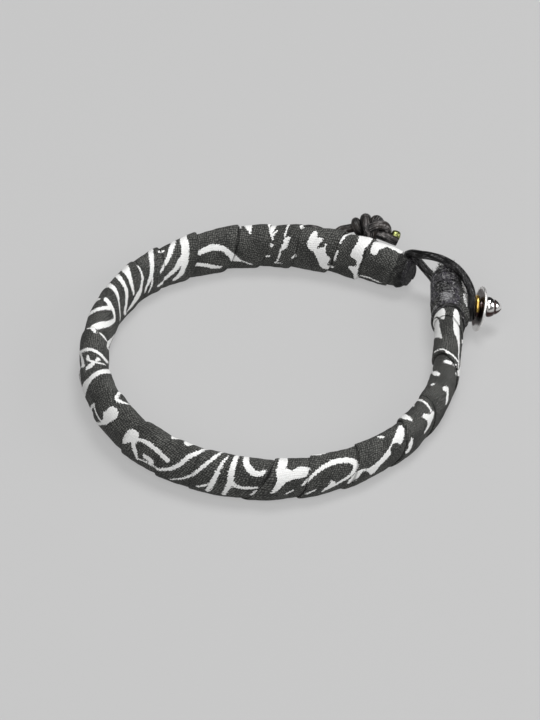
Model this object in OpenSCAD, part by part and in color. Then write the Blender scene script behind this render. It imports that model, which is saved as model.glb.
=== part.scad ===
// Bandana bracelet: a wound cloth band lying open side up, with a cord loop over a metal stud.
// Sizes in millimetres. The band lies on z = 0, and the frame's origin is under the box's middle.

/* [Band] */
// Radius of the band's centreline over most of the ring
ring_r = 31.7; // [31:0.1:33]
// Width of the wound band, from the wrist side to the outer side
band_w = 5.5; // [5:0.1:6]
// Height of the wound band, standing on its edge
band_h = 8.6; // [8.2:0.1:9]
// Height of the cloth edge that each turn of the winding shows
turn_step = 0.45; // [0:0.05:0.6]
// Depth by which the soft band is flattened on the floor
rest_sink = 0.3; // [0.1:0.1:0.5]

/* [Bindings] */
// Thickness of the thread binding over each end
binding_t = 0.6; // [0.4:0.1:0.8]
// Height of the bindings above the cloth beside them
binding_rise = 0.15; // [0:0.05:0.3]
// Diameter of the thong lashed round the stud's end
thong_d = 1.2; // [1:0.1:1.3]

/* [Stud] */
// Diameter of the stud's post
post_d = 1.8; // [1.4:0.1:1.9]
// Diameter of the domed disc
disc_d = 8.4; // [7:0.1:9]
// Diameter of the pointed knob
knob_d = 3.8; // [3:0.1:4.2]
// Length of the knob in front of the disc
knob_l = 3; // [2.5:0.1:3.4]
// Outer diameter of the brass ring on the post
brass_d = 3.4; // [2.8:0.1:3.6]
// Slope of the stud's axis below level, in degrees
stud_slope = 10; // [4:1:12]

/* [Cords] */
// Diameter of the leather cord
cord_d = 1.6; // [1.4:0.05:1.6]
// Diameter of the brass bead
bead_d = 1.8; // [1.6:0.1:2]

/* [Hidden] */

// The ring's centre in the part's frame
FRAME = [3.9, 0.9];
// Gap kept between pieces that touch in the real bracelet
gap = 0.05;

// The band's centreline and section, counterclockwise from end A to end B
// columns: angle round the ring, radius over ring_r, width over band_w, height over band_h, lift off the floor
BAND = [
    [41.6, 3.5, -0.4, -2.2, 1.0],
    [50, 2.1, 0.3, -0.7, 0.3],
    [60, 0.9, 0.6, 0.1, 0],
    [75, 0, 0.5, 0.2, 0],
    [90, -0.3, 0.3, 0.1, 0],
    [115, 0.2, 0.1, 0.1, 0],
    [135, 0.9, -0.3, -0.1, 0],
    [155, 0.6, -0.5, 0.1, 0],
    [180, 0.2, -0.4, 0.4, 0],
    [225, 0, 0.1, 0.6, 0],
    [270, -0.6, 0.1, -0.6, 0],
    [315, -0.8, -0.6, -1.4, 0],
    [345, -0.4, -0.6, -1.1, 0],
    [365, 0.5, -0.5, -1.1, 0.5],
    [380, 2.7, -0.1, -1.3, 1.6],
    [393, 6.7, -0.1, -1.8, 2.3],
];
R = 1;
W = 2;
H = 3;
LIFT = 4;
A_END = BAND[0][0];
B_END = BAND[len(BAND) - 1][0];

// Angle round the ring at which each turn's edge crosses the top of the band
TURNS = [45, 56, 65.5, 79.5, 90.5, 101, 115.5, 129, 139, 154, 174.5, 190, 206.5, 224.5, 237, 248,
         267.5, 282, 299.5, 317, 333.5, 355.5, 374.5, 388];
// Share of a turn over which its edge rises
edge_share = 0.12;
// How much less the edges slant on top than an even winding's, in turns
edge_ease = 0.07;

// Where the bindings reach round the ring
BINDING_A = 46;
BINDING_B = 380;
THONG_AT = 377.2;
// Cloth that runs on inside a binding stops this far short of the binding's end, in degrees
core_short = 1.4;
end_round = 1.3;

band_rings = 128;
band_sides = 20;
binding_rings = 8;
core_rings = 3;

// The stud's axis passes through the middle of the disc's rim
STUD_AT = [38.2, 13.4, 5.1];
// Distances along the stud's axis from the plane of the disc's rim
post_root = 4.6;
ring_w = 0.6;
ring_at = -0.75;
dome_h = 0.95;
knob_at = 1.1;
neck_d = 2.4;
groove = 0.15;

// The route of the cord from end A round the stud and back
// columns: x, y, z from the ring's centre
LOOP = [
    [23.9, 26.3, 6.9], [25.0, 25.6, 7.8], [26.2, 24.4, 8.5], [27.8, 23.3, 8.9], [29.3, 22.6, 9.3],
    [31.1, 21.2, 9.8], [32.7, 19.4, 10.1], [34.1, 17.8, 9.7], [35.3, 15.9, 8.9], [36.2, 14.1, 8.1],
    [36.5, 12.5, 7.2], [36.5, 11.6, 5.8], [36.4, 11.6, 4.5], [36.5, 12.4, 3.2], [36.3, 13.6, 2.3],
    [35.7, 15.2, 1.4], [33.6, 17.4, 0.9], [31.9, 20.0, 0.9], [30.7, 21.6, 2.2], [30.1, 21.9, 4.1],
    [28.4, 23.2, 5.7], [26.8, 24.8, 6.7], [25.6, 26.4, 6.2], [24.9, 27.4, 5.2],
];
LOOP_STEPS = 2;

// The tied cord behind end A: the strand that comes in along the band's back, an overhand knot and a cut tail
STRAND = [
    [5.4, 34.0, 5.0], [6.6, 34.7, 5.5], [8.4, 34.5, 5.6], [10.0, 33.8, 5.5], [11.5, 32.4, 5.5],
    [12.8, 33.0, 5.9], [14.0, 33.8, 6.1], [15.2, 34.2, 5.4], [16.2, 34.2, 4.5], [17.2, 34.1, 4.0],
];
TAIL = [[20.3, 31.8, 5.5], [21.3, 31.8, 5.6], [22.4, 32.0, 5.8], [23.6, 31.7, 5.4]];
KNOT_AT = [18.4, 33.5, 6.6];
// The knot's cord runs three times round a small ring while it goes twice about the knot's middle
knot_ring = 1.75;
knot_swing = 0.86;
knot_stretch = 1.12;
knot_shift = 0.2;
knot_turned = [60, -35, 42];
knot_from = 334;
knot_to = 26;
knot_step = 11;

// The bead's thread leaves the knot beside the tail
BEAD_THREAD = [[20.8, 33.6, 6.2], [21.8, 33.7, 5.9], [22.7, 33.7, 5.6], [24.3, 33.6, 5.2]];
bead_place = 0.45;
thread_d = 0.7;
bead_l = 1.5;

function unit(v) = v / norm(v);

// Which stretch of a table an angle falls in, and a smooth value of one column there
function stretch(a, i = 0) = a <= BAND[i + 1][0] || i == len(BAND) - 2 ? i : stretch(a, i + 1);
function lean(i, c) =
    let (lo = BAND[max(i - 1, 0)], hi = BAND[min(i + 1, len(BAND) - 1)])
    (hi[c] - lo[c]) / (hi[0] - lo[0]);
function column(a, c) =
    let (i = stretch(a), lo = BAND[i], hi = BAND[i + 1], span = hi[0] - lo[0], t = (a - lo[0]) / span)
    (2 * t ^ 3 - 3 * t ^ 2 + 1) * lo[c] + (t ^ 3 - 2 * t ^ 2 + t) * span * lean(i, c)
    + (3 * t ^ 2 - 2 * t ^ 3) * hi[c] + (t ^ 3 - t ^ 2) * span * lean(i + 1, c);

// The band's centreline, its outward direction and the half sizes of its section
function spot(a) = (ring_r + column(a, R)) * [cos(a), sin(a)];
function outward(a) =
    let (d = spot(min(a + 1, B_END)) - spot(max(a - 1, A_END)))
    unit([d[1], -d[0]]);
function half_w(a) = (band_w + column(a, W)) / 2;
function half_h(a) = (band_h + rest_sink + column(a, H)) / 2;
function middle_z(a) = column(a, LIFT) - rest_sink + half_h(a);

// How far the winding has come at an angle: a whole number at each edge on the top line
function wound(a, i = 0) =
    a <= TURNS[i + 1] || i == len(TURNS) - 2 ? i + (a - TURNS[i]) / (TURNS[i + 1] - TURNS[i]) : wound(a, i + 1);
function part_of(x) = x - floor(x);
function edge(f) = f < edge_share ? f / edge_share : (1 - f) / (1 - edge_share);
// The turn's height over the band's mean surface; side is 0 outward and 90 on top
function turn_height(a, side) =
    let (over = 90 - side)
    turn_step * (edge(part_of(wound(a) + over / 360 - edge_ease * sin(over))) - 0.5);

// One ring of the band: its section grown by a fixed amount, and scaled near an end
function ring_of(a, grow, scale, turned) = [
    for (k = [0:band_sides - 1])
        let (side = 360 * k / band_sides,
             more = grow + (turned ? turn_height(a, side) : 0),
             out = spot(a) + outward(a) * (half_w(a) + more) * scale * cos(side),
             z = middle_z(a) + (half_h(a) + more) * scale * sin(side))
        [out[0], out[1], max(z, 0)]
];

// Triangles over rings of n points each, with both ends closed
function skin(rings, n) = concat(
    [for (i = [0:rings - 2], k = [0:n - 1])
        let (a = i * n + k, b = i * n + (k + 1) % n) each [[a, b, b + n], [a, b + n, a + n]]],
    [[for (k = [n - 1:-1:0]) k]],
    [[for (k = [0:n - 1]) (rings - 1) * n + k]]
);
module swept(rings) {
    n = len(rings[0]);
    polyhedron(points = [for (r = rings) each r], faces = skin(len(rings), n));
}

// Section scale near an end, so that the end is rounded
function dome(d) = let (x = min(max(d, 0), end_round) / end_round) sqrt(0.35 + 0.65 * (1 - (1 - x) ^ 2));
function mm_from_end(a, end) = abs(a - end) * ring_r * PI / 180;

// A cord along a smooth curve through route points
function bent(p, i, t) =
    let (a = p[max(i - 1, 0)], b = p[i], c = p[i + 1], d = p[min(i + 2, len(p) - 1)])
    0.5 * (2 * b + (c - a) * t + (2 * a - 5 * b + 4 * c - d) * t ^ 2 + (3 * b - a - 3 * c + d) * t ^ 3);
function smooth(p, steps) = concat(
    [for (i = [0:len(p) - 2], s = [0:steps - 1]) bent(p, i, s / steps)], [p[len(p) - 1]]);
function ways(p) = [for (i = [0:len(p) - 1]) unit(p[min(i + 1, len(p) - 1)] - p[max(i - 1, 0)])];
function across(u, t) = unit(u - (u * t) * t);
function carried(t) = [
    for (i = 0, u = across([0.3, 0.5, 1], t[0]); i < len(t); i = i + 1, u = i < len(t) ? across(u, t[i]) : u) u];
module tube(p, d, sides = 8) {
    t = ways(p);
    u = carried(t);
    swept([for (i = [0:len(p) - 1]) [for (k = [0:sides - 1])
        let (turn = 360 * k / sides)
        p[i] + d / 2 * (cos(turn) * u[i] + sin(turn) * cross(u[i], t[i]))]]);
}
module cord(route, d, steps) tube(smooth(route, steps), d);

// A point of the knot's cord: on a small ring, then turned about three axes in order
function knot_raw(t) =
    (knot_ring + knot_swing * cos(3 * t)) * [sin(2 * t), cos(2 * t), 0] - [0, 0, knot_swing * sin(3 * t)];
function about_x(p, a) = [p[0], p[1] * cos(a) - p[2] * sin(a), p[1] * sin(a) + p[2] * cos(a)];
function about_z(p, a) = [p[0] * cos(a) - p[1] * sin(a), p[0] * sin(a) + p[1] * cos(a), p[2]];
function knot_point(t) =
    let (p = about_z(about_x(knot_raw(t), -knot_turned[0]), knot_turned[1]),
         q = [p[0] * knot_stretch + knot_shift, p[1], p[2]])
    KNOT_AT + about_x(q, -knot_turned[2]);
function knot_route() = concat(smooth(STRAND, 1), [for (t = [knot_from:-knot_step:knot_to]) knot_point(t)], TAIL);

module placed() translate([-FRAME[0], -FRAME[1], 0]) children();
module on_stud() translate(STUD_AT) rotate([0, 90 + stud_slope, 0]) children();

// Rings from one angle to another; the cloth inside a binding is its smooth core
function run(from, to, n, core) = [
    for (i = [0:n]) let (a = from + (to - from) * i / n) ring_of(a, core ? -binding_t : 0, 1, !core)];

module cloth_wrap() color([0.28, 0.29, 0.29]) placed() difference() {
    swept(concat(
        run(A_END + core_short, BINDING_A + 0.1, core_rings, true),
        run(BINDING_A + 0.15, BINDING_B - 0.15, band_rings, false),
        run(BINDING_B - 0.1, B_END - core_short, 2 * core_rings, true)));
    cord(STRAND, cord_d + 2 * gap, 1);
    cord(LOOP, cord_d + 2 * gap, LOOP_STEPS);
    lashing(2 * gap);
    post_hole();
}

// The blind hole that the post sits in
module post_hole() on_stud() cylinder(h = 2 * post_root + 2 * gap, d = post_d + 2 * gap, center = true, $fn = 24);

module sleeve(from, to, round_end) difference() {
    swept([for (i = [0:binding_rings])
        let (a = from + (to - from) * i / binding_rings)
        ring_of(a, binding_rise, dome(mm_from_end(a, round_end)), false)]);
    swept([for (i = [0:binding_rings])
        let (a = from + (to - from) * i / binding_rings,
             inner = round_end == A_END ? a + core_short - 0.2 : a - core_short + 0.2)
        ring_of(inner, gap - binding_t, 1, false)]);
}

module end_binding_a() color([0.12, 0.11, 0.12]) placed() difference() {
    sleeve(A_END, BINDING_A, A_END);
    cord(LOOP, cord_d + 2 * gap, LOOP_STEPS);
}

module end_binding_b() color([0.13, 0.12, 0.13]) placed() difference() {
    sleeve(BINDING_B, B_END, B_END);
    cord(LOOP, cord_d + 2 * gap, LOOP_STEPS);
    post_hole();
}

// The thong: a turn round the band, and a second one over its outer side
function lash(a, grow, from, to, n) = [
    for (i = [0:n])
        let (side = from + (to - from) * i / n)
        concat([for (c = [0:1]) (spot(a) + outward(a) * (half_w(a) + grow) * cos(side))[c]],
               [middle_z(a) + (half_h(a) + grow) * sin(side)])
];
thong_grow = 0.1;
module lashing(more) {
    cord(lash(THONG_AT, thong_grow, -75, 265, 20), thong_d + more, 1);
    cord(lash(THONG_AT + 1.7, thong_grow + 0.1, 110, -75, 12), thong_d + more, 1);
}
module stud_thong() color([0.1, 0.1, 0.11]) placed() difference() {
    lashing(0);
    sleeve_space();
}

// Room for the binding beside the thong
module sleeve_space() swept([for (i = [0:binding_rings])
    let (a = BINDING_B - 0.1 + (B_END - BINDING_B) * i / binding_rings)
    ring_of(a, binding_rise + gap, 1, false)]);

// The stud is one soldered piece: a post, a domed disc and a pointed knob
module stud() color([0.75, 0.76, 0.78]) placed() on_stud() rotate_extrude($fn = 48) {
    r = disc_d / 2;
    k = knob_d / 2;
    polygon([
        [0, -post_root], [post_d / 2, -post_root], [post_d / 2, 0], [neck_d / 2, 0.1],
        [r * 0.6, 0.2], [r - 0.4, 0.05], [r - 0.1, 0], [r, 0.1], [r - 0.1, 0.25],
        [r * 0.75, dome_h * 0.65], [r * 0.5, dome_h * 0.92], [neck_d / 2, dome_h],
        [neck_d / 2, knob_at], [k - 0.3, knob_at + 0.05], [k, knob_at + 0.4], [k - 0.05, knob_at + 0.8],
        [k * 0.8, knob_at + knob_l * 0.48], [k * 0.8 - groove, knob_at + knob_l * 0.54],
        [k * 0.7, knob_at + knob_l * 0.6], [0.3, knob_at + knob_l - 0.15], [0, knob_at + knob_l]
    ]);
}

module brass_ring() color([0.72, 0.56, 0.2]) placed() on_stud() translate([0, 0, ring_at])
    difference() {
        cylinder(h = ring_w, d = brass_d, $fn = 48);
        translate([0, 0, -1]) cylinder(h = ring_w + 2, d = post_d + 2 * gap, $fn = 48);
    }

module loop_cord() color([0.1, 0.1, 0.11]) placed() cord(LOOP, cord_d, LOOP_STEPS);

module cord_knot() color([0.1, 0.1, 0.11]) placed() tube(knot_route(), cord_d);

module bead_thread() color([0.12, 0.12, 0.13]) placed() difference() {
    cord(BEAD_THREAD, thread_d, 1);
    tube(knot_route(), cord_d + 2 * gap);
}

// The bead sits on the thread's last straight stretch
module brass_bead() color([0.62, 0.6, 0.25]) placed() {
    n = len(BEAD_THREAD);
    from = BEAD_THREAD[n - 2];
    to = BEAD_THREAD[n - 1];
    way = unit(to - from);
    translate(from + bead_place * (to - from)) rotate([0, acos(way[2]), atan2(way[1], way[0])])
        rotate_extrude($fn = 32) polygon([
            [thread_d / 2 + gap, -bead_l / 2], [bead_d / 2 - 0.25, -bead_l / 2], [bead_d / 2, -bead_l / 4],
            [bead_d / 2, bead_l / 4], [bead_d / 2 - 0.25, bead_l / 2], [thread_d / 2 + gap, bead_l / 2]
        ]);
}

cloth_wrap();
end_binding_a();
end_binding_b();
stud_thong();
stud();
brass_ring();
loop_cord();
cord_knot();
bead_thread();
brass_bead();
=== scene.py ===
import math
from collections import namedtuple

import bpy
import numpy as np
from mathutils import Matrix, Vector


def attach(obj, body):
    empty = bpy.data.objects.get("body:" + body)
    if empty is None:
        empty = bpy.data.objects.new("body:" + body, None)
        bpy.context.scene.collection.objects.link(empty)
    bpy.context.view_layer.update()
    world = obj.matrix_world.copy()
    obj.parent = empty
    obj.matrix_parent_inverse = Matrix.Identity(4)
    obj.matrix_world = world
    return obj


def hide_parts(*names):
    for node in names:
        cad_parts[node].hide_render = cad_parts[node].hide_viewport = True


bl_info = {
    "name": "Bandana Bracelet",
    "version": (1, 0, 0),
    "blender": (4, 5, 0),
    "location": "View3D > Sidebar > Bracelet",
    "description": "Builds a wound cloth bracelet with a leather cord loop over a metal stud",
    "category": "Add Mesh",
}

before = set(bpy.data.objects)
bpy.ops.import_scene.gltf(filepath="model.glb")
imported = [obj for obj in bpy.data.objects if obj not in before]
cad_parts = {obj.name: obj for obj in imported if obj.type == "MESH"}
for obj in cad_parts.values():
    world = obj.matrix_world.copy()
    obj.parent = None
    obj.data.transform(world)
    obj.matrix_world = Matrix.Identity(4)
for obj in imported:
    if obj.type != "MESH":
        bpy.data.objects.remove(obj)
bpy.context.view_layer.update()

# Units and the place of the ring's centre in the frame
MM = 0.001
RING_CENTRE = np.array([-3.9, -0.9, 0.0])
BODY = "root"

# The band's centreline and section, in degrees and millimetres
# columns: angle, radius over the ring's, width over the band's, height over the band's, lift off the floor
BAND_TABLE = np.array([
    (41.6, 3.5, -0.4, -2.7, 1.5), (50, 2.1, 0.3, -0.85, 0.45), (60, 0.9, 0.6, 0.1, 0), (75, 0, 0.5, 0.2, 0),
    (90, -0.3, 0.3, 0.1, 0), (115, 0.2, 0.1, 0.1, 0), (135, 0.9, -0.3, -0.1, 0), (155, 0.6, -0.5, 0.1, 0),
    (180, 0.2, -0.4, 0.4, 0), (225, 0, 0.1, 0.6, 0), (270, -0.6, 0.1, -0.6, 0), (315, -0.8, -0.6, -1.4, 0),
    (345, -0.4, -0.6, -1.1, 0), (365, 0.5, -0.5, -1.1, 0.5), (380, 2.7, -0.1, -1.3, 1.6),
    (393, 6.7, -0.1, -1.8, 2.3),
])
RADIUS, WIDTH, HEIGHT, LIFT = 1, 2, 3, 4
# Places round the ring in degrees: the band's ends, end A's cut face, the bindings' starts and the thong
A_END = BAND_TABLE[0, 0]
B_END = BAND_TABLE[-1, 0]
A_FACE = 42.2
BINDING_A = 46
BINDING_B = 376.4
THONG_AT = 377.2
# columns: degrees from the thong's place, rise over the cloth, first and last side of the lash, where 0 is
# outward and 90 the top
THONG_LASHES = ((-0.6, 0.02, -75, 265), (1.5, 0.12, 62, -75), (-2.2, 0.05, 30, -75))

# Angle round the ring at which each turn's edge crosses the top of the band
TURNS = np.array([
    45, 56, 65.5, 79.5, 90.5, 101, 115.5, 129, 139, 154, 174.5, 190, 206.5, 224.5, 237, 248,
    271, 283, 299.5, 319.5, 334, 355.5, 372.3, 388,
])
# How strongly each turn's edge shows, in the same order
EDGE_SHOWS = np.array([
    0.3, 0.9, 0.9, 0.8, 0.8, 0.9, 1.0, 1.0, 0.5, 0.45, 0.8, 0.8, 0.9, 0.9, 0.35, 0.35,
    1.0, 0.8, 0.6, 0.8, 0.35, 0.9, 0.6, 0.6,
])
# How far an edge swings along the band on its way round, in turns
EDGE_EASE = 0.07
# The turns with those that lie under the bindings, and their numbers
SPARE_TURNS = np.array([9.0, 18.0])
TURN_ANGLES = np.concatenate([TURNS[0] - SPARE_TURNS[::-1], TURNS, TURNS[-1] + SPARE_TURNS])
TURN_NUMBERS = np.arange(len(TURN_ANGLES)) - len(SPARE_TURNS)

# The route of the cord from end A round the stud and back, in millimetres from the ring's centre
LOOP_ROUTE = (
    (24.7, 25.9, 6.3), (25.4, 25.3, 7.4), (26.3, 24.5, 8.3), (27.8, 23.4, 8.9), (29.3, 22.6, 9.3),
    (31.2, 21.2, 9.8), (33.0, 19.4, 10.1), (34.6, 17.8, 9.7), (35.85, 15.9, 8.9), (36.55, 14.1, 8.1),
    (36.65, 12.5, 7.2), (36.5, 11.6, 5.8), (36.4, 11.6, 4.5), (36.5, 12.4, 3.2), (36.3, 13.6, 2.3),
    (35.7, 15.2, 1.4), (33.6, 17.4, 0.9), (31.9, 20.0, 0.9), (30.7, 21.6, 2.2), (30.1, 21.9, 4.1),
    (28.4, 23.2, 5.7), (26.8, 24.8, 6.7), (25.6, 26.4, 6.2), (24.9, 27.4, 5.2),
)

# The tied cord behind end A, its knot and its tail, in millimetres from the ring's centre
STRAND_ROUTE = (
    (5.4, 34.0, 5.0), (6.6, 34.7, 5.5), (8.4, 34.5, 5.5), (10.0, 33.8, 5.3), (11.3, 33.1, 5.3),
    (12.3, 33.0, 5.9), (13.2, 33.2, 6.5),
)
KNOT_AT = np.array([18.4, 33.5, 6.6])
KNOT_SPREAD = 1.07
# The turns of the knot, drawn tight
# columns: millimetres to the right, up and nearer as the camera sees them, from the knot's middle, and
# the cord's thickness as a share of its own, where the pull spreads it
KNOT_ROUTE = (
    (-4.0, 0.0, 0.1, 1.0), (-2.4, 0.2, -0.3, 1.0), (-1.0, -0.3, 0.4, 1.0), (-0.5, -0.4, 1.2, 1.0),
    (0.5, 0.3, 1.8, 1.05), (1.8, 0.65, 1.6, 1.1), (2.85, 0.4, 0.95, 1.12), (3.2, -0.4, 0.1, 1.1),
    (2.6, -0.3, -1.1, 1.05), (2.0, 1.0, -1.2, 1.1), (1.5, 1.55, -0.5, 1.2), (1.05, 1.45, 0.5, 1.2),
    (0.85, 0.4, 0.9, 1.1), (0.95, -0.7, 0.8, 1.0), (0.7, -1.4, -0.1, 1.0), (0.1, -0.6, -1.3, 1.05),
    (-0.3, 1.1, -1.3, 1.2), (-0.7, 1.85, -0.2, 1.32), (-0.75, 1.35, 1.0, 1.34), (-0.5, 0.0, 1.5, 1.3),
    (-0.25, -1.2, 0.9, 1.15), (-0.9, -1.5, -0.2, 1.0), (-1.7, -0.5, -1.2, 1.0), (-2.25, 0.75, -0.9, 1.0),
    (-2.55, 1.3, 0.0, 1.02), (-2.55, 0.6, 0.9, 1.04), (-2.15, -0.4, 0.9, 1.0), (-1.5, -0.9, 0.2, 1.0),
    (-0.2, -0.6, 0.0, 1.0), (1.2, -0.9, 0.5, 1.08), (2.6, -1.4, 0.8, 1.12), (4.0, -2.0, 0.7, 1.05),
    (5.2, -2.5, 0.5, 1.0),
)
SEEN_UP = np.array([0, 0.669, 0.743])
SEEN_NEARER = np.array([0, -0.743, 0.669])
BEAD_THREAD_ROUTE = ((20.6, 33.3, 5.9), (21.5, 33.3, 5.7), (22.5, 33.35, 5.3), (24.1, 33.2, 4.8))

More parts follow.
